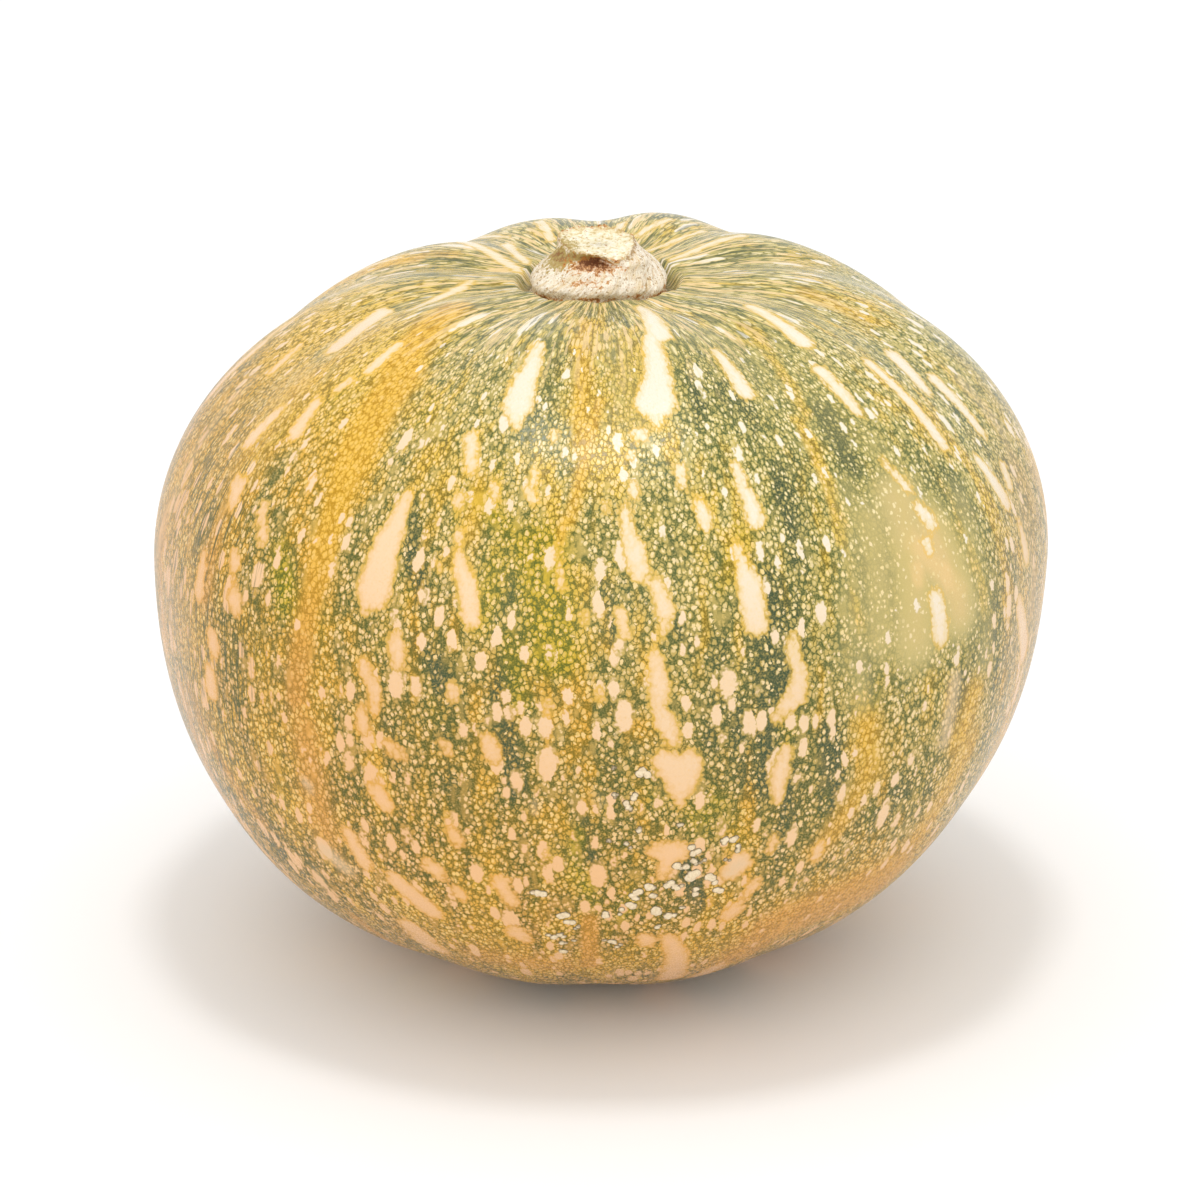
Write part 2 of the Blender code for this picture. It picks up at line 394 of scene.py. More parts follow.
# %% Strokes along the skin
def place_of(point):
    """Longitude and arc from the crown of a point on the rind, and the radius there."""
    radius = math.hypot(point.x, point.y)
    polar = math.atan2(radius, point.z - BELLY_HEIGHT)
    return math.atan2(point.y, point.x), float(np.interp(polar, track, track_arc)), max(radius, 5 * MM)


rind_points = points_of(rind.data)
rind_radius = np.hypot(rind_points[:, 0], rind_points[:, 1])


def stroke_distance(start, end, reach):
    """The rind's points within reach of a stroke, their distance from its spine and how far along they are."""
    (turn_0, arc_0, radius_0), (turn_1, arc_1, radius_1) = start, end
    bend = (turn_1 - turn_0 + math.pi) % (2 * math.pi) - math.pi
    middle = (radius_0 + radius_1) / 2
    near = np.flatnonzero((rind_arc > min(arc_0, arc_1) - reach) & (rind_arc < max(arc_0, arc_1) + reach))
    turn = (rind_longitude[near] - turn_0 + math.pi) % (2 * math.pi) - math.pi
    across = turn * rind_radius[near]
    close = (across > min(0, bend * middle) - reach) & (across < max(0, bend * middle) + reach)
    near, across, down = near[close], across[close], rind_arc[near[close]] - arc_0
    spine = np.array([bend * middle, arc_1 - arc_0])
    share = np.clip((across * spine[0] + down * spine[1]) / max(spine @ spine, 1e-9), 0, 1)
    return near, np.hypot(across - share * spine[0], down - share * spine[1]), share


def photo_stroke(x0, y0, x1, y1):
    """Both ends of a stroke drawn on the photograph, and the real size of one pixel across it."""
    start, end = on_rind(x0, y0), on_rind(x1, y1)
    length = math.hypot(x1 - x0, y1 - y0)
    side_x, side_y = ((y1 - y0) / length, (x0 - x1) / length) if length else (1, 0)
    middle_x, middle_y = (x0 + x1) / 2, (y0 + y1) / 2
    left = on_rind(middle_x - 2 * side_x, middle_y - 2 * side_y)
    right = on_rind(middle_x + 2 * side_x, middle_y + 2 * side_y)
    return place_of(start), place_of(end), min((left - right).length / 4, 0.6 * MM)


# %% [markdown]
# ### Blotches
#
# Where the green never reached the skin, cream blotches stay. They start narrow towards the stem and end
# blunt, like drops that ran down the ribs. Those that the photograph shows are placed by its pixels. The rest
# of the fruit gets others of the same kind by a seeded rule.

# %% Blotches that the photograph shows
BLOTCHES = (  # pixels: from, to, width at each end
    (637, 304, 650, 335, 8, 16), (650, 335, 657, 380, 16, 28), (656, 380, 655, 402, 28, 42),
    (657, 408, 657, 426, 20, 8), (639, 434, 641, 435, 14, 14), (541, 342, 529, 375, 8, 20),
    (526, 375, 518, 405, 22, 30), (516, 408, 516, 426, 20, 10), (715, 350, 745, 392, 7, 12),
    (408, 495, 392, 535, 10, 22), (388, 540, 374, 590, 26, 34), (366, 600, 364, 612, 14, 8),
    (458, 552, 462, 575, 10, 18), (466, 580, 472, 620, 20, 20), (625, 508, 630, 545, 10, 14),
    (634, 548, 640, 574, 22, 18), (655, 583, 666, 610, 14, 20), (700, 503, 706, 526, 12, 14),
    (735, 465, 756, 520, 8, 18), (736, 543, 745, 575, 8, 14), (748, 580, 756, 622, 24, 26),
    (793, 640, 795, 660, 12, 14), (800, 672, 797, 696, 15, 20), (792, 700, 778, 718, 18, 12),
    (786, 750, 780, 775, 12, 18), (779, 778, 778, 800, 17, 10), (655, 655, 660, 690, 14, 22),
    (656, 703, 667, 725, 12, 24), (668, 726, 674, 742, 20, 12), (664, 762, 678, 770, 24, 30),
    (690, 762, 682, 780, 24, 34), (680, 780, 680, 806, 26, 8), (656, 850, 676, 852, 16, 22),
    (676, 852, 686, 848, 18, 12), (670, 856, 662, 876, 18, 10), (668, 938, 676, 952, 14, 18),
    (678, 955, 670, 978, 12, 16), (645, 938, 647, 942, 16, 16), (730, 872, 740, 862, 16, 20),
    (748, 893, 756, 882, 8, 10), (728, 915, 738, 907, 11, 10), (700, 975, 715, 968, 8, 10),
    (745, 305, 800, 342, 6, 11), (820, 370, 858, 412, 12, 9), (868, 362, 942, 443, 7, 9),
    (895, 357, 925, 390, 9, 7), (935, 380, 982, 433, 8, 6), (882, 460, 908, 488, 5, 7),
    (919, 508, 931, 522, 10, 13), (927, 544, 928, 549, 10, 10), (978, 460, 1005, 500, 6, 9),
    (1004, 468, 1009, 484, 6, 6), (936, 598, 941, 636, 14, 16), (1020, 525, 1026, 555, 4, 8),
    (1019, 605, 1024, 650, 7, 11), (385, 312, 340, 346, 9, 11), (401, 343, 370, 370, 6, 8),
    (350, 380, 337, 390, 6, 6), (317, 402, 296, 432, 8, 12), (280, 410, 250, 440, 6, 9), (241, 484, 234, 500, 9, 9),
    (264, 506, 260, 518, 8, 8), (262, 528, 262, 540, 10, 10), (236, 482, 233, 505, 9, 7),
    (234, 555, 235, 565, 9, 11), (204, 555, 199, 592, 5, 9), (212, 638, 214, 648, 10, 10),
    (210, 675, 211, 690, 9, 9), (234, 598, 236, 606, 14, 12), (396, 640, 398, 662, 16, 16),
    (364, 664, 365, 672, 12, 12), (374, 686, 375, 696, 14, 12), (362, 712, 363, 728, 11, 13),
    (373, 705, 374, 709, 10, 10), (453, 690, 453, 700, 14, 10), (390, 748, 402, 755, 14, 10),
    (444, 746, 449, 750, 12, 10), (487, 740, 494, 756, 16, 16), (376, 790, 386, 804, 14, 14),
    (348, 832, 364, 862, 9, 12), (453, 832, 458, 842, 12, 12), (430, 866, 439, 873, 13, 12),
    (396, 880, 430, 910, 12, 14), (500, 882, 506, 892, 16, 12), (510, 898, 513, 903, 12, 12),
    (458, 890, 461, 897, 10, 10), (412, 928, 424, 936, 12, 9), (425, 942, 436, 948, 12, 10),
    (516, 932, 524, 938, 12, 10), (606, 505, 606, 510, 8, 8), (528, 487, 533, 500, 9, 11),
    (494, 484, 497, 500, 9, 8), (535, 470, 534, 480, 7, 7), (471, 436, 472, 470, 14, 12),
    (460, 496, 458, 505, 10, 12), (460, 532, 456, 540, 10, 9), (633, 487, 634, 495, 12, 13),
    (680, 468, 682, 484, 12, 10), (632, 452, 630, 458, 8, 8), (558, 545, 562, 590, 4, 7),
    (585, 612, 584, 622, 8, 8), (547, 700, 549, 712, 8, 8), (620, 612, 626, 636, 12, 10),
    (665, 625, 664, 632, 11, 11), (440, 562, 438, 572, 5, 5), (600, 690, 598, 700, 9, 8),
    (770, 850, 775, 838, 7, 9), (820, 845, 816, 858, 8, 8), (467, 231, 529, 267, 5, 4), (542, 222, 556, 243, 8, 7),
    (613, 217, 620, 227, 6, 5), (667, 221, 635, 241, 5, 4), (738, 236, 662, 267, 4, 3), (700, 232, 646, 254, 3, 3),
    (512, 247, 536, 264, 5, 4), (300, 345, 272, 372, 4, 5), (480, 282, 420, 310, 3, 4), (555, 430, 553, 440, 6, 6),
)
FARTHEST = -6 * MM  # as far from an edge as is kept

blotch = np.full(len(rind_points), FARTHEST)


def paint_blotch(start, end, width_0, width_1):
    reach = max(width_0, width_1) / 2 - FARTHEST
    near, away, share = stroke_distance(start, end, reach)
    inside = (width_0 + (width_1 - width_0) * share) / 2 - away
    blotch[near] = np.maximum(blotch[near], inside)


for x0, y0, x1, y1, width_0, width_1 in BLOTCHES:
    start, end, pixel = photo_stroke(x0, y0, x1, y1)
    paint_blotch(start, end, width_0 * pixel, width_1 * pixel)
print(len(BLOTCHES), "blotches from the photograph cover %.1f%% of the points" % (100 * (blotch > 0).mean()))

# %% [markdown]
# The photograph ends where the skin turns away from the camera. A point belongs to the unseen part when its
# direction from the belly faces away. The rule there draws a longitude and a height, a length and a width,
# and keeps long thin streaks near the stem and short blunt spots lower down.

# %% Blotches on the sides that the photograph doesn't show
UNSEEN_BLOTCHES = 150
SEEN_FACING = 0.24
LONGER_ABOVE = 1.6
THINNER_ABOVE = 0.6
blotch_draw = random.Random(11)


def facing(point):
    """How squarely a point of the fruit faces the camera, from -1 to 1."""
    outward = Vector((point.x, point.y, (point.z - BELLY_HEIGHT) * 1.3)).normalized()
    return outward.dot(towards_camera)


def skin_point(longitude, polar):
    return Vector(fruit_points(np.array([longitude]), np.array([polar]))[0])


def unseen_direction(draw, low=0.30, high=0.96):
    """A random longitude and polar angle, even over the skin, where the photograph doesn't show it."""
    while True:
        longitude = draw.uniform(-math.pi, math.pi)
        polar = math.acos(draw.uniform(math.cos(high * math.pi), math.cos(low * math.pi * 0.5)))
        if facing(skin_point(longitude, polar)) < SEEN_FACING:
            return longitude, polar


for _ in range(UNSEEN_BLOTCHES):
    longitude, polar = unseen_direction(blotch_draw)
    size = blotch_draw.random() ** 3  # most are small
    length = (1.2 + 15 * size) * MM * (LONGER_ABOVE if polar < math.pi * 0.35 else 1.0)
    width = (1.8 + 4.2 * size) * MM * (THINNER_ABOVE if polar < math.pi * 0.3 else 1.0)
    start = place_of(skin_point(longitude, polar))
    end = (longitude + blotch_draw.gauss(0, 0.03), start[1] + length, start[2])
    paint_blotch(start, end, width * blotch_draw.uniform(0.35, 0.9), width)
print("blotches now cover %.1f%%" % (100 * (blotch > 0).mean()))
store(rind, "blotch", blotch / MM)

# %% [markdown]
# ### Zones of colour
#
# Gold zones and amber bands, where the green is thin, run down the ribs between dark zones where only small
# dots show through thick green. A few thin dark strokes down the left rim are painted shade of a furrow. To the
# right lies one smooth khaki patch almost without a net. Elsewhere the lines turn olive, and scuffs wear them
# off. Scuff strokes along both rims and round the crown are painted sheen. These are soft strokes with a strength.
# The unseen part gets bands of its own by a rule.

# %% Amber, dark, khaki, olive, gold and scuffed zones, with painted sheen and painted shade
AMBER = (  # pixels: from, to, half width, strength
    (462, 305, 405, 372, 15, 0.9), (405, 372, 352, 470, 20, 1.0), (352, 470, 318, 580, 16, 1.0),
    (318, 580, 296, 700, 15, 0.8), (440, 330, 400, 400, 12, 0.6), (300, 385, 245, 470, 22, 0.6),
    (245, 470, 205, 600, 12, 0.6), (370, 330, 300, 400, 22, 0.4), (585, 320, 588, 450, 14, 0.5),
    (600, 400, 565, 520, 9, 0.6), (565, 520, 560, 540, 7, 0.7), (480, 480, 470, 540, 14, 0.5),
    (800, 430, 835, 520, 5, 0.45), (868, 725, 872, 770, 20, 0.6), (872, 770, 820, 850, 14, 0.6),
    (880, 880, 780, 925, 17, 1.1), (780, 925, 740, 955, 15, 0.8), (970, 740, 900, 860, 11, 0.6),
    (590, 920, 590, 965, 10, 1.0), (545, 905, 520, 960, 9, 0.4), (560, 965, 480, 955, 12, 0.6),
    (400, 930, 470, 965, 10, 0.4), (305, 730, 325, 830, 18, 0.7), (325, 830, 345, 870, 12, 0.4),
    (190, 690, 260, 820, 6, 0.6), (165, 520, 166, 640, 7, 0.6), (1035, 470, 1044, 600, 7, 0.4),
    (905, 400, 940, 450, 10, 0.3), (960, 360, 1010, 430, 10, 0.3), (800, 290, 860, 320, 9, 0.5),
    (975, 690, 960, 740, 12, 0.6), (360, 250, 260, 330, 8, 0.3), (917, 564, 918, 586, 7, 0.24),
    (949, 562, 950, 588, 8, 0.3),
)
# Dark green zones, and a few strokes of painted furrow shade on the left rim.
DARK = (
    (765, 590, 775, 700, 30, 0.9), (775, 700, 770, 780, 26, 0.9), (830, 730, 832, 800, 14, 1.0),
    (720, 640, 712, 740, 16, 0.5), (822, 410, 850, 465, 14, 0.8), (790, 470, 790, 560, 20, 0.5),
    (690, 350, 700, 420, 10, 0.4), (860, 650, 870, 700, 8, 0.7), (930, 470, 960, 510, 14, 0.5),
    (1010, 560, 1003, 660, 12, 0.6), (985, 640, 965, 700, 16, 0.6), (870, 820, 900, 790, 16, 0.6),
    (500, 690, 515, 790, 16, 0.8), (540, 640, 560, 700, 12, 0.6), (560, 590, 562, 640, 7, 0.7),
    (600, 560, 612, 650, 8, 0.6), (412, 545, 425, 600, 12, 0.8), (420, 640, 440, 680, 12, 0.7),
    (444, 440, 446, 470, 7, 0.7), (410, 500, 416, 530, 9, 0.6), (290, 525, 300, 590, 12, 0.6),
    (215, 560, 222, 620, 8, 0.5), (203, 690, 214, 750, 7, 0.8), (247, 800, 290, 860, 8, 0.7),
    (380, 720, 395, 770, 12, 0.6), (455, 780, 470, 830, 16, 0.5), (470, 950, 520, 962, 8, 0.8),
    (580, 800, 590, 860, 16, 0.5), (690, 865, 700, 905, 16, 0.7), (560, 700, 580, 780, 20, 0.4),
    (620, 955, 640, 975, 8, 0.6), (430, 262, 400, 275, 9, 0.7), (470, 240, 520, 262, 9, 0.6),
    (690, 262, 760, 245, 8, 0.6), (640, 600, 690, 640, 14, 0.3), (300, 330, 240, 400, 9, 0.4),
    # From (250, 447) down to (193, 610), and from (320, 307): painted shade of a furrow on the left rim.
    (190, 470, 176, 540, 5, 0.7), (870, 290, 930, 320, 8, 0.5), (250, 447, 222, 487, 3, 1.0),
    (222, 487, 203, 527, 3, 1.2), (203, 527, 194, 567, 3, 1.2), (194, 567, 193, 610, 3, 1.0),
    (320, 307, 247, 367, 4, 0.9), (270, 560, 292, 640, 14, 0.35), (735, 700, 745, 780, 16, 0.6),
)
KHAKI = (
    (848, 490, 846, 660, 26, 0.42), (870, 520, 880, 640, 34, 0.55), (900, 500, 915, 640, 36, 0.72),
    (930, 530, 960, 610, 30, 0.8), (915, 545, 960, 590, 26, 0.88), (917, 568, 918, 582, 12, 1.0),
    (947, 572, 948, 586, 12, 1.0), (850, 600, 862, 700, 22, 0.45), (975, 560, 985, 660, 18, 0.4),
    (700, 330, 860, 420, 50, 0.3), (610, 340, 640, 420, 34, 0.35), (870, 440, 900, 480, 24, 0.4),
    (960, 500, 975, 560, 20, 0.45),
)
OLIVE = (
    (540, 550, 555, 650, 34, 0.8), (500, 560, 480, 620, 22, 0.5), (480, 500, 520, 540, 20, 0.5),
    (510, 640, 520, 700, 18, 0.5), (720, 800, 740, 840, 20, 0.3), (560, 850, 590, 900, 25, 0.25),
    (280, 550, 300, 620, 16, 0.4), (640, 790, 720, 830, 25, 0.2), (640, 880, 600, 940, 20, 0.2),
)
GOLD = (
    (400, 330, 330, 430, 42, 1.0), (330, 400, 340, 470, 56, 1.0), (430, 400, 450, 480, 30, 0.7),
    (590, 320, 592, 430, 20, 1.0), (615, 380, 600, 480, 24, 0.8), (540, 470, 560, 540, 20, 0.8),
    (300, 500, 310, 560, 24, 0.8), (250, 430, 230, 560, 28, 0.7), (310, 590, 310, 730, 20, 1.0),
    (330, 640, 400, 800, 26, 0.5), (470, 520, 450, 640, 24, 0.4), (480, 700, 470, 900, 36, 0.4),
    (560, 640, 560, 940, 40, 0.5), (260, 640, 300, 820, 34, 0.65), (180, 480, 170, 640, 14, 0.5),
    (860, 700, 862, 770, 18, 0.6), (640, 640, 640, 760, 22, 0.4), (880, 390, 940, 440, 20, 0.4),
    (890, 870, 760, 935, 26, 1.0), (740, 940, 600, 965, 20, 0.8), (740, 325, 800, 420, 6, 0.8),
    (800, 420, 842, 540, 7, 1.0), (842, 540, 860, 640, 6, 0.7), (1020, 420, 1044, 600, 14, 0.5),
    (185, 560, 230, 760, 24, 0.8), (300, 330, 205, 460, 44, 1.0), (985, 480, 1000, 660, 22, 0.3),
    (945, 680, 960, 760, 18, 0.3), (620, 330, 640, 420, 26, 0.8), (560, 560, 600, 640, 26, 0.5),
    (400, 900, 520, 960, 26, 0.7), (800, 275, 880, 320, 10, 0.6),
)
# Scuffs, and painted sheen: the long strokes along both rims and round the top stand in for the sheen there.
SCUFFS_AND_SHEEN = (
    (306, 783, 310, 788, 6, 0.8), (325, 850, 345, 868, 7, 0.9), (315, 868, 325, 888, 5, 0.5),
    (535, 800, 535, 812, 8, 0.6), (340, 290, 250, 380, 7, 0.4), (430, 255, 330, 300, 6, 0.4),
    (250, 380, 175, 500, 9, 0.55), (172, 500, 160, 680, 8, 0.6), (1044, 500, 1042, 640, 7, 0.5),
    (1000, 430, 1025, 540, 9, 0.5), (960, 380, 1000, 430, 8, 0.6), (955, 680, 945, 740, 9, 0.8),
    (480, 300, 440, 310, 8, 0.4), (690, 290, 740, 285, 8, 0.4), (1027, 540, 1030, 640, 6, 0.5),
    (730, 872, 742, 862, 8, 0.9), (594, 798, 604, 800, 8, 0.6),
)


ZONE_REACH = 2.4  # half widths to which a soft stroke is worked out


def paint_zone(total, start, end, half_width, strength):
    near, away, _ = stroke_distance(start, end, ZONE_REACH * half_width)
    total[near] = np.maximum(total[near], strength * bell(away, half_width))


def zone(strokes):
    """A soft value for each point of the rind, from 0 to 1, from strokes drawn on the photograph."""
    total = np.zeros(len(rind_points))
    for x0, y0, x1, y1, half_width, strength in strokes:
        start, end, pixel = photo_stroke(x0, y0, x1, y1)
        paint_zone(total, start, end, half_width * pixel, strength)
    return total


STROKES = {"amber": AMBER, "dark": DARK, "khaki": KHAKI, "olive": OLIVE, "scuff_and_sheen": SCUFFS_AND_SHEEN, "gold": GOLD}
zones = {name: zone(strokes) for name, strokes in STROKES.items()}
print("zones cover", {name: "%.0f%%" % (100 * (values > 0.4).mean()) for name, values in zones.items()})

# %% Bands on the sides that the photograph doesn't show
BAND_RULES = {  # how many, half width and length in mm
    "amber": (40, 3.0, 34),
    "dark": (52, 3.6, 24),
    "olive": (14, 6, 16),
    "scuff_and_sheen": (8, 2.0, 10),
    "gold": (44, 7.5, 30),
}
band_draw = random.Random(23)

for name, (count, width, length) in BAND_RULES.items():
    for _ in range(count):
        longitude, polar = unseen_direction(band_draw, low=0.25)
        start = place_of(skin_point(longitude, polar))
        end = (longitude + band_draw.gauss(0, 0.04), start[1] + band_draw.uniform(0.3, 1.2) * length * MM, start[2])
        half_width = band_draw.uniform(0.6, 1.4) * width * MM
        paint_zone(zones[name], start, end, half_width, band_draw.uniform(0.5, 1.0))
for name, values in zones.items():
    store(rind, name, np.clip(values, 0, 1))
print("zones now cover", {name: "%.0f%%" % (100 * (values > 0.4).mean()) for name, values in zones.items()})

# %% [markdown]
# The fruit is riper on the left, lower down and at both rims, so a broad ripeness leans that way. Both rims
# also get a lighter peach tone, which is painted sheen where the skin turns away, and the left one has thin dark
# lines. At the stem's foot the skin is darkened brown, partly dirt and partly painted shade where it meets the
# stem.

# %% Ripeness, painted sheen on the rims and painted shade at the stem's foot
RIPE_MIDDLE = 0.55
RIPE_LEFTWARDS = 0.4
RIPE_DOWNWARDS = 0.75
RIPE_AT_RIMS = 0.35

rightwards = rind_points[:, 0] / BELLY_RADIUS
upwards = rind_points[:, 2] / BELLY_HEIGHT - 1
from_foot = rind_radius - stem_outline(rind_longitude)[:, -3, 0]
ripeness = RIPE_MIDDLE - RIPE_LEFTWARDS * rightwards - RIPE_DOWNWARDS * upwards
ripeness += RIPE_AT_RIMS * smoothstep(0.72, 0.98, np.abs(rightwards))
store(rind, "ripe", np.clip(ripeness, 0, 1))
# Painted sheen: both rims, as seen from the camera, get a lighter peach tone.
store(rind, "rim_sheen", smoothstep(0.78, 1.0, np.abs(rightwards)))
store(rind, "side", smoothstep(0.5, 0.9, -rightwards))
# Partly dirt and partly painted shade: the skin darkens brown at the stem's foot.
store(rind, "foot", smoothstep(2.4 * MM, 0.5 * MM, from_foot))
print("ripeness from %.2f to %.2f" % (ripeness.min(), ripeness.max()))

# %% [markdown]
# ## Short calls for nodes
#
# Each material below is a tree of nodes. A small class stands for a node's output, so that sums and products of
# outputs read like those of numbers. Short calls add a node with its inputs, fade a value between two limits,
# lay colours over each other, make noise and cells, and put the result on a piece.


# %% Node helpers
class Value:
    """A node's output. Arithmetic with it adds Math nodes to its tree."""

    def __init__(self, socket):
        self.socket = socket
        self.tree = socket.id_data

    def __add__(self, other):
        return calc("ADD", self, other)

    def __sub__(self, other):
        return calc("SUBTRACT", self, other)

    def __rsub__(self, other):
        return calc("SUBTRACT", other, self)

    def __mul__(self, other):
        return calc("MULTIPLY", self, other)


def fill(socket, value):
    """Gives an input a number, a colour or another node's output."""
    if isinstance(value, Value):
        value.tree.links.new(value.socket, socket)
    else:
        socket.default_value = value


def put(tree, kind, values=None, **settings):
    """Adds a node, sets its properties and fills its inputs."""
    node = tree.nodes.new(kind)
    for name, value in settings.items():
        setattr(node, name, value)
    for name, value in (values or {}).items():
        fill(node.inputs[name], value)
    return node


def tree_of(*values):
    return next(value.tree for value in values if isinstance(value, Value))


def calc(operation, first, second=0.0, clamp=False):
    tree = tree_of(first, second)
    node = put(tree, "ShaderNodeMath", {0: first, 1: second}, operation=operation, use_clamp=clamp)
    return Value(node.outputs[0])


def vector_calc(operation, first, second):
    place = "Scale" if operation == "SCALE" else 1
    node = put(first.tree, "ShaderNodeVectorMath", {0: first, place: second}, operation=operation)
    return Value(node.outputs[0])


def fade(value, low, high, to_low=0.0, to_high=1.0):
    limits = {"Value": value, "From Min": low, "From Max": high, "To Min": to_low, "To Max": to_high}
    node = put(value.tree, "ShaderNodeMapRange", limits, interpolation_type="SMOOTHSTEP")
    return Value(node.outputs["Result"])


def mixed(share, first, second):
    """The first colour with a share of the second. Inputs 6 and 7 of the node are its colours."""
    values = {"Factor": share, 6: first, 7: second}
    return Value(put(tree_of(*values.values()), "ShaderNodeMix", values, data_type="RGBA").outputs[2])


def layered(colour, *layers):
    """Lays colours over a colour, one after the other, each with its share."""
    for share, over in layers:
        colour = mixed(share, colour, over)
    return colour


def stored(tree, name, output="Fac"):
    node = put(tree, "ShaderNodeAttribute", attribute_name=name, attribute_type="GEOMETRY")
    return Value(node.outputs[output])


def stretched(where, along):
    return Value(put(where.tree, "ShaderNodeMapping", {"Vector": where, "Scale": (1, 1, along)}).outputs[0])


def noise_of(where, scale, detail=2.0, rough=0.5, output="Fac"):
    values = {"Vector": where, "Scale": scale, "Detail": detail, "Roughness": rough}
    return Value(put(where.tree, "ShaderNodeTexNoise", values).outputs[output])


def cells_of(where, scale):
    """The distance from the middle of each cell of a Voronoi pattern, and three numbers drawn for the cell."""
    cells = put(where.tree, "ShaderNodeTexVoronoi", {"Vector": where, "Scale": scale}, feature="F1").outputs
    draws = put(where.tree, "ShaderNodeSeparateColor", {"Color": Value(cells["Color"])}).outputs
    return Value(cells["Distance"]), *(Value(draws[place]) for place in range(3))


def paint(red, green, blue):
    """A colour from screen values of 0 to 255, in linear light."""
    screen = (value / 255 for value in (red, green, blue))
    return tuple(v / 12.92 if v <= 0.04045 else ((v + 0.055) / 1.055) ** 2.4 for v in screen) + (1,)


def new_material(name):
    material = bpy.data.materials.new(name)
    material.use_nodes = True
    return material


def dress(piece, material, colour, roughness, relief=None):
    """Fills a material and puts it on a piece. relief is a strength, a depth in mm and a height."""
    tree = material.node_tree
    values = {"Base Color": colour, "Roughness": roughness}
    if relief:
        strength, deep, height = relief
        bump = put(tree, "ShaderNodeBump", {"Strength": strength, "Distance": deep * MM, "Height": height})
        values["Normal"] = Value(bump.outputs[0])
    for name, value in values.items():
        fill(tree.nodes["Principled BSDF"].inputs[name], value)
    piece.data.materials.append(material)
    print(material.name, "has", len(tree.nodes), "nodes")


# %% [markdown]
# ## The rind
#
# Close up, the rind is a net. Pale cells of one to two millimetres lie between green lines that are thin in
# the light zones and thick in the dark ones. A Voronoi texture's distance to the edge gives exactly that: a
# low limit leaves thin lines round large cells, and a high one leaves small dots in thick green. The limit
# follows the zones. Larger spots, the blotches and the streaks near the stem go over the net.

# %% Net of the rind
NET_SCALE = 0.9
NET_ALONG = 0.8
EDGE_ROUNDING = 0.15

rind_material = new_material("rind_skin")
tree = rind_material.node_tree
plain_at, crown_at = stored(tree, "grain", "Vector"), stored(tree, "crown_grain", "Vector")
crown, amber, dark, khaki, olive, scuff_and_sheen, gold, ripe, blotch_edge = (
    stored(tree, name) for name in ("crown", "amber", "dark", "khaki", "olive", "scuff_and_sheen", "gold", "ripe", "blotch")
)
near_stem = calc("GREATER_THAN", crown + (noise_of(plain_at, 0.5) - 0.5) * 0.8, 0.5)
chosen = put(tree, "ShaderNodeMix", {"Factor": near_stem, 4: plain_at, 5: crown_at}, data_type="VECTOR")
grain_at = Value(chosen.outputs[1])

wobble = vector_calc("SUBTRACT", noise_of(grain_at, 1.3, 1.0, output="Color"), (0.5, 0.5, 0.5))
where = vector_calc("ADD", grain_at, vector_calc("SCALE", wobble, 0.8))
net_at = stretched(where, NET_ALONG)
net_values = {"Vector": net_at, "Scale": NET_SCALE}
border = put(tree, "ShaderNodeTexVoronoi", net_values, feature="DISTANCE_TO_EDGE").outputs["Distance"]
cell_middle, cell_size, cell_strength, cell_tone = cells_of(net_at, NET_SCALE)
depth = calc("SMOOTH_MIN", Value(border), 0.72 - cell_middle)
depth.socket.node.inputs[2].default_value = EDGE_ROUNDING
fine = noise_of(grain_at, 2.6, 2.0, 0.6)
bands = noise_of(stretched(plain_at, 0.2), 0.1, 3.0, 0.55)
patches = noise_of(stretched(plain_at, 0.5), 0.17, 3.0, 0.6)
mood = noise_of(stretched(plain_at, 0.45), 0.3)
loose = noise_of(grain_at, 0.75, 1.0) - 0.5

thick = dark * 0.8 + fade(bands, 0.48, 0.74, 0, 0.5) + fade(patches, 0.52, 0.78, 0, 0.3)
thick = calc("SUBTRACT", thick, calc("MAXIMUM", amber, gold) * 0.6 + crown * 0.3, clamp=True)
limit = thick * 0.15 + loose * 0.22 + fade(ripe, 0.2, 0.9, 0.01, 0.045)
off_line = fade(depth, limit - 0.02, limit + 0.15)
off_line = calc("MAXIMUM", off_line, fade(mood, 0.42, 0.3, 0, 0.8 - thick))
dot_size = cell_size * 0.24 + 0.23 - (thick + khaki) * 0.13 + loose * 0.25
in_core = fade(cell_middle + (fine - 0.5) * 0.3 - dot_size, 0.06, -0.08)
in_core = in_core * fade(cell_strength, 0.0, 0.45, 0.4, 1.0) * fade(khaki, 0.6, 1.0, 1.0, 0.4)
print("the net's tree has", len(tree.nodes), "nodes")

# %% [markdown]
# Colours come next. They are read off the photograph as seen, so the white room's sheen and the strength of
# the light are taken off first. Each cell has three tones: a line, a fringe and a pale core. Lines run from
# blue-green in the dark zones over leaf green to olive, gold and amber. Fringes and cores are pale yellow on
# the right and towards the top, and turn to peach where the fruit is riper, on the left and lower down. In
# the khaki patch lines and fringes share one tone, so that the net nearly vanishes.

# %% Colours of the net
ROOM_SHEEN = 0.028
ROOM_LIGHT = 1.15
DARKEST = 0.004


def skin_tone(red, green, blue):
    """The rind's own colour where it is seen on screen as the given colour."""
    return tuple(max((v - ROOM_SHEEN) / ROOM_LIGHT, DARKEST) for v in paint(red, green, blue)[:3]) + (1,)


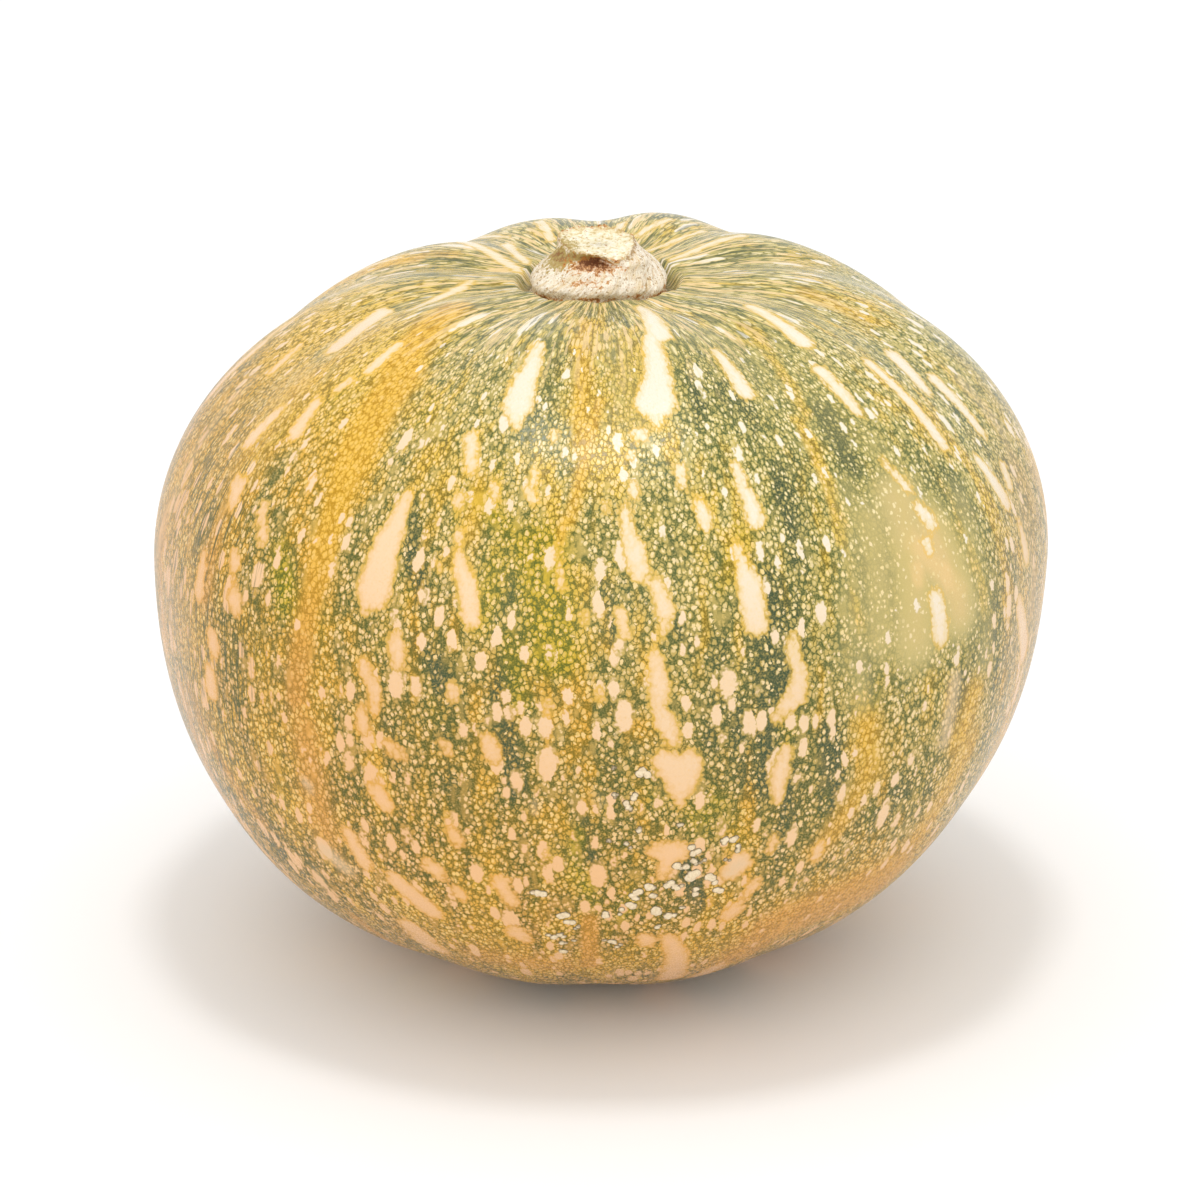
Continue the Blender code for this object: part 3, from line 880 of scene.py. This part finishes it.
LINE_GREEN = skin_tone(100, 112, 68)
LINE_CROWN = skin_tone(158, 150, 98)
LINE_RIPE = skin_tone(98, 100, 44)
LINE_DARK = skin_tone(80, 94, 70)
LINE_OLIVE = skin_tone(112, 116, 26)
LINE_GOLD = skin_tone(148, 124, 34)
LINE_AMBER = skin_tone(198, 150, 46)
LINE_EMBER = skin_tone(186, 138, 62)
FRINGE_GREEN = skin_tone(214, 196, 120)
FRINGE_RIPE = skin_tone(204, 158, 82)
FRINGE_OLIVE = skin_tone(214, 182, 66)
FRINGE_YELLOW = skin_tone(242, 206, 98)
FRINGE_GOLD = skin_tone(236, 180, 80)
AMBER_YELLOW = skin_tone(248, 198, 86)
AMBER_PEACH = skin_tone(238, 174, 90)
# Painted sheen on both rims.
RIM_SHEEN_TONE = skin_tone(238, 182, 120)
CORE_GREEN = skin_tone(252, 232, 168)
CORE_RIPE = skin_tone(248, 200, 136)
CORE_GOLD = skin_tone(252, 212, 124)
CORE_OLIVE = skin_tone(240, 200, 100)
KHAKI_GREEN = skin_tone(172, 166, 112)
KHAKI_TONE = skin_tone(214, 194, 132)
KHAKI_WARM = skin_tone(242, 208, 146)
CREAM = skin_tone(255, 244, 222)
CREAM_GOLD = skin_tone(254, 221, 180)
PEACH = skin_tone(250, 200, 148)
# Scuffs, and painted sheen on the rims and the crown.
SCUFF_AND_SHEEN_TONE = skin_tone(234, 204, 164)
# Dirt and painted shade at the stem's foot.
SEAT_DIRT_AND_SHADE = skin_tone(112, 92, 60)
HAIR_TONE = tuple((first + second) / 2 for first, second in zip(LINE_DARK, LINE_RIPE))

tint = noise_of(stretched(plain_at, 0.4), 0.12)
golden = gold + fade(bands, 0.52, 0.28, 0.0, 0.62) + fade(mood, 0.3, 0.7, -0.35, 0.35)
golden = fade(golden, 0.1, 0.9)
oliveness = calc("ADD", olive, fade(tint, 0.52, 0.8, 0, 0.4), clamp=True)
in_olive = fade(oliveness, 0.05, 0.7)
in_amber = fade(amber, 0.1, 0.8)
in_khaki = fade(khaki, 0.1, 0.7)
lower = fade(ripe, 0.45, 0.85)
amber_fill = mixed(lower, AMBER_YELLOW, AMBER_PEACH)
gold_fringe = mixed(fade(ripe, 0.15, 0.6), FRINGE_YELLOW, FRINGE_GOLD)
khaki_tone = layered(
    KHAKI_GREEN,
    (fade(khaki, 0.25, 0.65), KHAKI_TONE),
    (fade(khaki, 0.6, 0.95), KHAKI_WARM),
    (fade(tint, 0.4, 0.6, 0, 0.3), FRINGE_GREEN),
)
line = layered(
    LINE_GREEN,
    (ripe, LINE_RIPE),
    (crown * 0.45, LINE_CROWN),
    (golden, LINE_GOLD),
    (fade(thick, 0.05, 0.75), LINE_DARK),
    (in_olive, LINE_OLIVE),
    (in_amber, mixed(lower, LINE_AMBER, LINE_EMBER)),
)
fringe = layered(
    FRINGE_GREEN,
    (ripe, FRINGE_RIPE),
    (golden, gold_fringe),
    (in_olive, FRINGE_OLIVE),
    (thick * 0.35, line),
    (fade(amber, 0.1, 0.8, 0, 0.9), amber_fill),
)
core = layered(
    CORE_GREEN,
    (ripe, CORE_RIPE),
    (golden, CORE_GOLD),
    (fade(oliveness, 0.05, 0.7, 0, 0.8), CORE_OLIVE),
    (cell_tone * 0.3, mixed(ripe, CREAM, PEACH)),
    (fade(amber, 0.1, 0.9, 0, 0.7), amber_fill),
)
line = layered(line, (fade(fine, 0.4, 0.75, 0, 0.5), fringe), (in_khaki, khaki_tone))
fringe = mixed(in_khaki, fringe, khaki_tone)
skin = layered(line, (off_line, fringe), (in_core, core))
print("with its colours it has", len(tree.nodes), "nodes")

# %% [markdown]
# Spots of one to four millimetres are scattered between the cells and the blotches. Each cell of a coarser
# Voronoi texture draws whether it has a spot and how large, and noise keeps the spots from being round. Two
# layers of them, of different size, do for all. The pale parts share one colour, cream to peach, and each has
# a golden fringe. Near the stem the skin is streaked, and on the left rim thin dark lines run down it.

# %% Spots, streaks and blotches
SPOT_LAYERS = ((0.33, 0.14, 0.35), (0.19, 0.5, 0.33))  # scale, share of cells without a spot, largest size
SPOT_ALONG = 0.54

pale = layered(
    CREAM,
    (fade(ripe, 0.05, 0.42), CREAM_GOLD),
    (fade(ripe, 0.4, 0.9), PEACH),
    (fade(fine, 0.45, 0.8, 0, 0.3), gold_fringe),
)
for spot_scale, rarest, largest in SPOT_LAYERS:
    spot_middle, spot_size, _, _ = cells_of(stretched(where, SPOT_ALONG), spot_scale)
    size = fade(spot_size, rarest, 1.0, -0.1, largest) - (khaki + amber) * 0.12
    size = size + fade(ripe, 0.0, 0.9, -0.03, 0.06) + dark * 0.1
    gap = spot_middle + loose * 0.28 - (size + depth * 0.12)
    skin = layered(skin, (fade(gap, 0.12, 0.0, 0, 0.9), fringe), (fade(gap, 0.03, -0.04), pale))

streaks = noise_of(stretched(crown_at, 0.3), 0.7, 2.0, 0.55)
dark_streak = crown * fade(golden, 0.2, 0.9, 1.0, 0.2) * fade(streaks, 0.47, 0.40, 0, 0.65)
hairs = fade(calc("ABSOLUTE", noise_of(stretched(grain_at, 0.05), 0.9, 1.0) - 0.5), 0.05, 0.012)
hairs = hairs * fade(stored(tree, "side"), 0.3, 0.8) * fade(mood, 0.38, 0.52, 0.2, 0.85)
rough_edge = blotch_edge + ((depth - 0.1) * 1.5 + loose * 1.8)
# Scuffs, and painted sheen: the scuff strokes along the rims and a share of the crown stand in for the sheen there.
worn_and_sheen = calc("MAXIMUM", scuff_and_sheen, crown * 0.25) * (fine + 0.5)
skin = layered(
    skin,
    (crown * fade(streaks, 0.57, 0.60, 0, 0.9), mixed(0.6, CREAM, amber_fill)),
    (dark_streak, LINE_DARK),
    (hairs, HAIR_TONE),
    (fade(rough_edge, -0.9, 0.0), mixed(0.5, fringe, amber_fill)),
    (fade(rough_edge, -0.2, 0.55), mixed(fade(rough_edge, 0.3, 1.7, 0.35, 0), pale, gold_fringe)),
    (fade(worn_and_sheen, 0.2, 1.0, 0, 0.7), SCUFF_AND_SHEEN_TONE),
    # Painted sheen on both rims.
    (stored(tree, "rim_sheen") * fade(tint, 0.35, 0.6, 0.05, 0.32), RIM_SHEEN_TONE),
    # Dirt and painted shade at the stem's foot.
    (stored(tree, "foot") * (fine + 0.2), SEAT_DIRT_AND_SHADE),
)
print("with spots, streaks and blotches it has", len(tree.nodes), "nodes")

# %% [markdown]
# The rind is waxy. Its gloss is soft, a little duller on scuffs, and its net stands a few hundredths of a
# millimetre proud, so highlights break up slightly.

# %% Gloss and relief of the rind
RIND_SPECULAR = 0.3

shine = fine * 0.14 + 0.2 + scuff_and_sheen * 0.1
height = off_line * 0.35 + noise_of(plain_at, 0.25) * 3.0 + streaks * (crown * 1.5)
dress(rind, rind_material, skin, shine, relief=(0.5, 0.12, height))
fill(tree.nodes["Principled BSDF"].inputs["Specular IOR Level"], RIND_SPECULAR)
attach(rind, "root")
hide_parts("fruit")

# %% [markdown]
# ## The stem
#
# The stub is cork: pale, dry and finely wrinkled, with cords that fan out from the neck into the flare. The
# cut on top is fibrous, and its edge has a notch in front. It is a sphere moved by the outlines above. Toes at
# the foot, swells of the neck and a dent under the lip come from a table, and ripples round it do the rest.

# %% Stem mesh
STEM_SEGMENTS = 72
STEM_RINGS = 36
LAST = 9  # the outline's last point
CUT_EDGE = 3 / LAST
STEM_SINK = 0.5 * MM
LIP_DROP = 0.6 * MM
STEM_SHAPES = (  # longitude, share of the way down, width in degrees, width in share, height in mm
    (240, 0.66, 13, 0.07, 0.7),
    (277, 0.66, 13, 0.07, 0.8),
    (312, 0.66, 13, 0.07, 0.5),
    (205, 0.66, 13, 0.07, 0.4),
    (20, 0.66, 13, 0.07, 0.4),
    (160, 0.66, 13, 0.07, 0.4),
    (188, 0.43, 24, 0.06, 0.3),
    (320, 0.43, 28, 0.07, 2.1),
    (236, 0.58, 14, 0.06, -0.6),
    (330, 0.6, 12, 0.06, -0.4),
    (264, 0.43, 28, 0.05, -1.7),
)
NOTCH = (296, CUT_EDGE, 22, 0.10)
NOTCH_DEPTH = 1.3 * MM
CORDS = ((0.15, (13, 22), 0.9), (0.10, (47, 71), 1.6), (0.3, (6, 9), 2.6))  # height in mm, counts, twist
EDGE_RISE = ((0.3, (4, 7, 13)), (0.14, (29, 43)))
EDGE_REACH = ((0.25, (4, 7, 11)), (0.15, (23, 31)))
BACK_TEETH = 0.45 * MM
CUT_DISH = 0.5 * MM
CUT_UNEVEN = 0.4 * MM
stem_draw = random.Random(5)


def waves(turn, counts):
    """A ripple round the stem: cosines with the given numbers of waves, each turned at random."""
    total = 0.0
    for count in counts:
        total = total + np.cos(count * turn + stem_draw.uniform(0, 2 * math.pi))
    return total / len(counts)


def mark(longitude, share, middle, down, width, depth):
    """1 at one place of the stem and less the farther away, with widths in degrees and in share."""
    away = np.degrees(longitude - math.radians(middle)) % 360
    return bell(np.minimum(away, 360 - away), width) * bell(share - down, depth)


def stem_points(longitude, share):
    outline = stem_outline(longitude)
    rows = np.arange(len(longitude))
    place = share * LAST
    index = np.minimum(place.astype(int), LAST - 1)
    four = [outline[rows, np.clip(index + step, 0, LAST)] for step in (-1, 0, 1, 2)]
    radius, rise = np.maximum(curve(*four, (place - index)[:, None]), 0.0).T
    on_flank = smoothstep(CUT_EDGE, 0.5, share) * smoothstep(0.86, 0.74, share)
    for height, counts, twist in CORDS:
        radius = radius + height * MM * on_flank * waves(longitude + twist * share, counts)
    for *spot, height in STEM_SHAPES:
        radius = radius + height * MM * mark(longitude, share, *spot)
    for height, counts in EDGE_RISE:
        rise = rise + height * MM * bell(share - CUT_EDGE, 0.05) * waves(longitude, counts)
    rise = rise - NOTCH_DEPTH * mark(longitude, share, *NOTCH)
    for height, counts in EDGE_REACH:
        radius = radius + height * MM * bell(share - CUT_EDGE, 0.09) * waves(longitude, counts)
    on_back = smoothstep(0.1, 0.8, np.sin(longitude)) * bell(share - 0.31, 0.025)
    rise = rise + BACK_TEETH * on_back * np.abs(waves(longitude, (11, 19, 31)))
    on_cut = smoothstep(0.30, 0.2, share)
    rise = rise - CUT_DISH * on_cut * (1 - radius / (10 * MM))
    rise = rise + CUT_UNEVEN * on_cut * radius / (8 * MM) * waves(longitude, (3, 5, 9))
    rise = rise - LIP_DROP * smoothstep(0.5, 0.38, share)
    rise = rise - STEM_SINK * smoothstep(1.2 * MM, 0.4 * MM, rise) * (share > 0.5)
    points = np.stack([radius * np.cos(longitude), radius * np.sin(longitude), rise], 1)
    return points + [0, 0, SEAT_HEIGHT + STEM_GAP]


stem, stem_longitude, stem_share = shaped_sphere("stem_stub", STEM_SEGMENTS, STEM_RINGS, stem_points)
print("stem", len(stem.data.vertices), "points")

# %% [markdown]
# Colours on the stem follow its form. The material needs to know how far down a point lies, where brown marks
# lie under the lip, at the foot and behind, and where the skin is greenish, as at the edge of the cut. Behind they
# are stains. Under the lip and at the corners of the foot they are partly stains and partly painted shade. Those
# are stored on the mesh.

# %% Stains and painted shade of the stem
STEM_MARKS = {  # longitude, share of the way down, width in degrees, width in share, strength
    # Brown marks: stains, and painted shade under the lip and at the corners of the foot.
    "stain_and_shade": (
        (256, 0.45, 36, 0.07, 1.3), (268, 0.40, 26, 0.05, 1.2), (268, 0.50, 20, 0.06, 0.7),
        (300, 0.40, 12, 0.03, 0.5), (250, 0.45, 30, 0.05, 0.7), (255, 0.58, 22, 0.05, 0.55),
        (262, 0.77, 22, 0.06, 0.7), (303, 0.73, 12, 0.03, 0.8), (212, 0.79, 20, 0.035, 1.0),
        (335, 0.78, 24, 0.04, 1.0), (350, 0.72, 16, 0.05, 0.7), (110, 0.75, 50, 0.06, 0.4),
        (90, 0.3, 44, 0.05, 0.9), (90, 0.23, 30, 0.03, 0.5), (40, 0.3, 20, 0.05, 0.75), (150, 0.3, 22, 0.05, 0.8),
        (292, 0.3, 14, 0.06, 0.7), (250, 0.30, 24, 0.05, 0.8), (278, 0.47, 14, 0.04, 1.3),
        (300, 0.45, 10, 0.05, 0.8),
    ),
    "green": (
        (200, 0.43, 32, 0.10, 1.4), (240, 0.38, 44, 0.06, 1.4), (235, 0.26, 40, 0.05, 0.8),
        (190, 0.22, 34, 0.07, 1.1), (185, 0.16, 34, 0.04, 0.7), (160, 0.26, 20, 0.04, 0.6),
        (180, 0.42, 16, 0.06, 0.6), (80, 0.4, 40, 0.05, 0.4), (262, 0.37, 34, 0.04, 1.0),
    ),
}
FIBRE_TWIST = 1.3
FIBRE_ROUND = 12
FIBRE_ALONG = 16

for name, marks in STEM_MARKS.items():
    total = np.zeros(len(stem_longitude))
    for *spot, strength in marks:
        total = np.maximum(total, strength * mark(stem_longitude, stem_share, *spot))
    store(stem, name, total)
store(stem, "down", stem_share)
fibre_turn = stem_longitude + FIBRE_TWIST * stem_share
fibre = [np.cos(fibre_turn) * FIBRE_ROUND, np.sin(fibre_turn) * FIBRE_ROUND, stem_share * FIBRE_ALONG]
store(stem, "fibre", np.stack(fibre, 1))
print("stem marks:", {name: len(marks) for name, marks in STEM_MARKS.items()})

# %% [markdown]
# Cork is used twice, on the stem and on the warts below, so its grain is a node group: pale and darker flecks
# as a mask, and a height for the relief.


# %% Cork grain as a node group
def cork_group():
    group = bpy.data.node_groups.new("cork_grain", "ShaderNodeTree")
    for name, way, kind in (
        ("Vector", "INPUT", "Vector"),
        ("Scale", "INPUT", "Float"),
        ("Flecks", "OUTPUT", "Float"),
        ("Height", "OUTPUT", "Float"),
    ):
        group.interface.new_socket(name, in_out=way, socket_type="NodeSocket" + kind)
    given = group.nodes.new("NodeGroupInput").outputs
    taken = group.nodes.new("NodeGroupOutput").inputs
    at, scale = Value(given["Vector"]), Value(given["Scale"])
    coarse = noise_of(at, scale, 5.0, 0.7)
    pits = put(group, "ShaderNodeTexVoronoi", {"Vector": at, "Scale": scale * 1.6}).outputs["Distance"]
    fill(taken["Flecks"], fade(coarse, 0.38, 0.68))
    fill(taken["Height"], coarse + Value(pits) * 0.4)
    return group


def cork_of(tree, scale):
    """The place on the piece, and the flecks and the height of the cork there. scale is per metre."""
    at = Value(put(tree, "ShaderNodeTexCoord").outputs["Object"])
    cork = put(tree, "ShaderNodeGroup", {"Vector": at, "Scale": scale}, node_tree=cork_grain).outputs
    return at, Value(cork["Flecks"]), Value(cork["Height"])


cork_grain = cork_group()
print("cork grain has", len(cork_grain.nodes), "nodes")

# %% Stem material
CORK_PALE = paint(252, 243, 224)
CORK = paint(236, 216, 178)
CORK_DARK = paint(160, 126, 80)
# Brown of the stains and of the painted shade.
STAIN_AND_SHADE_BROWN = paint(128, 78, 44)
STAIN_AMBER = paint(206, 138, 62)
CUT_YELLOW = paint(240, 227, 184)
CUT_TAN = paint(200, 168, 106)
EDGE_GREEN = paint(170, 144, 66)
STEM_GRAIN = 900
SPECK_GRAIN = 1150
CUT_GRAIN = 700

stem_material = new_material("stem_cork_skin")
tree = stem_material.node_tree
at, flecks, cork_height = cork_of(tree, STEM_GRAIN)
down, stain_and_shade, green = (stored(tree, name) for name in ("down", "stain_and_shade", "green"))
fibre_at = stretched(stored(tree, "fibre", "Vector"), 0.5)
wrinkles = noise_of(fibre_at, 0.9, 4.0, 0.7)
cracks = calc("ABSOLUTE", noise_of(fibre_at, 1.9, 3.0, 0.7) - 0.5)
specks = noise_of(at, SPECK_GRAIN, 3.0, 0.75)
fibrous = noise_of(at, CUT_GRAIN, 4.0, 0.75)
cut_skin = layered(
    CUT_YELLOW,
    (fade(fibrous, 0.42, 0.62), CORK_PALE),
    (fade(fibrous, 0.47, 0.36, 0, 0.9), CUT_TAN),
    (fade(down, 0.16, 0.32) * fade(wrinkles, 0.44, 0.56), CUT_TAN),
)
mottled = (specks + fibrous * 0.7 - 0.85) * 3.0
# The dark ring at the cut's edge is partly cork crumbs and partly painted shade under the lip. The dark band low on
# the flare, where it curves under, is painted shade.
edge_and_flare_shade = fade(calc("ABSOLUTE", down - 0.33), 0.045, 0.0) * 0.75
edge_and_flare_shade = calc("MAXIMUM", edge_and_flare_shade, fade(down, 0.69, 0.79, 0, 0.6))
greenish, stained_or_shaded = green + mottled, stain_and_shade + mottled
skin = layered(
    CORK,
    (fade(wrinkles, 0.34, 0.56), CORK_PALE),
    (flecks * 0.25, CORK_DARK),
    (fade(cracks, 0.03, 0.0, 0, 0.4), CORK_DARK),
    (fade(specks, 0.55, 0.62, 0, 0.75), CORK_DARK),
    (fade(specks, 0.40, 0.34, 0, 0.5), STAIN_AMBER),
    (fade(down, 0.335, 0.30), cut_skin),
    # Painted shade at the cut's edge and under the flare, with cork crumbs at the edge.
    (fade(edge_and_flare_shade + mottled, 0.3, 0.8, 0, 0.8), CORK_DARK),
    (fade(greenish, 0.3, 0.8, 0, 0.9), EDGE_GREEN),
    (fade(greenish, 1.0, 1.6, 0, 0.8), STAIN_AND_SHADE_BROWN),
    # Brown marks: stains, and painted shade under the lip and at the corners of the foot.
    (fade(stained_or_shaded, 0.4, 0.8, 0, 0.85), STAIN_AMBER),
    (fade(stained_or_shaded, 0.75, 1.15), STAIN_AND_SHADE_BROWN),
)
dress(stem, stem_material, skin, 0.8, relief=(0.8, 0.35, cork_height * 0.5 + wrinkles * 1.4))
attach(stem, "root")
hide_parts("stem")

# %% [markdown]
# ## Warts
#
# Low on the front the rind carries small corky warts, whitish on top with a brown foot, up to 0.4 mm high. Each
# is three small balls, flattened, roughened and sunk a little into the skin. All of them are one piece.

# %% Warts where the photograph shows them
WARTS = (  # pixels, and width in pixels
    (631, 906, 13), (636, 897, 9), (649, 889, 12), (654, 895, 8), (670, 883, 11), (677, 886, 8), (684, 868, 10),
    (692, 874, 12), (697, 862, 9), (702, 861, 6), (710, 880, 12), (717, 890, 11), (697, 890, 9), (684, 908, 6),
    (671, 916, 10), (654, 911, 12), (724, 842, 10), (733, 839, 9), (738, 850, 9), (728, 860, 5), (694, 850, 9),
    (633, 895, 10), (659, 926, 8), (620, 910, 8), (606, 914, 10), (634, 796, 8), (626, 806, 9), (630, 809, 6),
    (637, 831, 7), (642, 775, 10), (616, 797, 6), (615, 768, 5), (607, 842, 6), (628, 844, 6), (680, 824, 6),
    (538, 891, 11), (564, 915, 11), (568, 923, 9), (555, 936, 11), (562, 934, 8), (564, 943, 8), (561, 950, 9),
    (574, 940, 5), (577, 927, 6), (612, 941, 9), (620, 944, 8), (604, 940, 5),
)
WART_RISE = 0.38
WART_SINK = 0.05
WART_PARTS = 3
WART_SWELL = 1.3
wart_draw = random.Random(31)

shape = bmesh.new()
for x, y, width in WARTS:
    middle = on_rind(x, y)
    outward = rind_tree.find_nearest(middle)[1]
    _, _, pixel = photo_stroke(x, y, x, y + 1)
    half = width * pixel * WART_SWELL / 2
    turn = outward.to_track_quat("Z", "Y").to_matrix()
    for part in range(WART_PARTS):
        made = bmesh.ops.create_icosphere(shape, subdivisions=2, radius=1)["verts"]
        shift = Vector((wart_draw.gauss(0, 0.36), wart_draw.gauss(0, 0.36), 0)) * half
        round_size = half * wart_draw.uniform(0.5, 0.8)
        for vertex in made:
            bump = 1 + wart_draw.uniform(-0.14, 0.14)
            local = Vector((vertex.co.x, vertex.co.y, vertex.co.z * WART_RISE)) * round_size * bump
            vertex.co = middle + turn @ (local + shift - Vector((0, 0, half * WART_SINK)))
bmesh.ops.recalc_face_normals(shape, faces=shape.faces)
warts = piece_of("warts", mesh_of("warts", shape))
warts.data.shade_smooth()


def proud_of_rind(point):
    """How far a point stands out of the rind, in mm."""
    nearest, outward, _, _ = rind_tree.find_nearest(point)
    return (point - nearest).dot(outward) / MM


proud = np.array([proud_of_rind(vertex.co) for vertex in warts.data.vertices])
store(warts, "proud", proud)
print(len(WARTS), "warts stand up to %.2f mm proud" % proud.max())

# %% Wart material
WART_FOOT = paint(104, 92, 62)
WART_TOP = paint(240, 220, 184)
WART_FLECK = paint(186, 154, 112)
WART_GRAIN = 1500

wart_material = new_material("wart_cork")
tree = wart_material.node_tree
_, flecks, cork_height = cork_of(tree, WART_GRAIN)
skin = layered(WART_FOOT, (fade(stored(tree, "proud"), 0.06, 0.22), WART_TOP), (flecks * 0.45, WART_FLECK))
dress(warts, wart_material, skin, 0.75, relief=(0.6, 0.15, cork_height))
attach(warts, "root")

# %% [markdown]
# ## Floor and light
#
# The photograph is bright and even, on white, with two faint soft highlights on the ribs. A white world gives
# the even light. A small lamp above the squash gives the highlights, and a wide one in front on the left lifts
# the ribs that face the camera.

# %% Floor, world and lamps
FLOOR_SIZE = 4
FLOOR_WHITE = (0.95, 0.95, 0.95, 1)
WORLD_WHITE = (1, 1, 1, 1)
WORLD_STRENGTH = 1.0
LAMPS = (  # name, place, aim and size in metres, power in watts
    ("key", (0, -0.14, 1.6), (0, -0.05, 0.1), (0.2, 0.24), 5.0),
    ("fill", (-0.3, -1.5, 0.9), (0, 0, 0.08), (1.6, 1.0), 3.4),
)

floor_shape = bmesh.new()
bmesh.ops.create_grid(floor_shape, x_segments=1, y_segments=1, size=FLOOR_SIZE)
floor = piece_of("floor", mesh_of("floor", floor_shape))
dress(floor, new_material("floor_white"), FLOOR_WHITE, 0.9)

world = bpy.data.worlds.new("studio")
bpy.context.scene.world = world
world.use_nodes = True
fill(world.node_tree.nodes["Background"].inputs["Color"], WORLD_WHITE)
fill(world.node_tree.nodes["Background"].inputs["Strength"], WORLD_STRENGTH)

for name, place, aim, size, power in LAMPS:
    data = bpy.data.lights.new(name, "AREA")
    data.shape = "RECTANGLE"
    data.size, data.size_y = size
    data.energy = power
    light = piece_of(name, data)
    light.location = place
    light.rotation_euler = (Vector(aim) - Vector(place)).to_track_quat("-Z", "Y").to_euler()
bpy.context.scene.view_settings.view_transform = "Standard"
print("floor, white world and", len(LAMPS), "lamps")
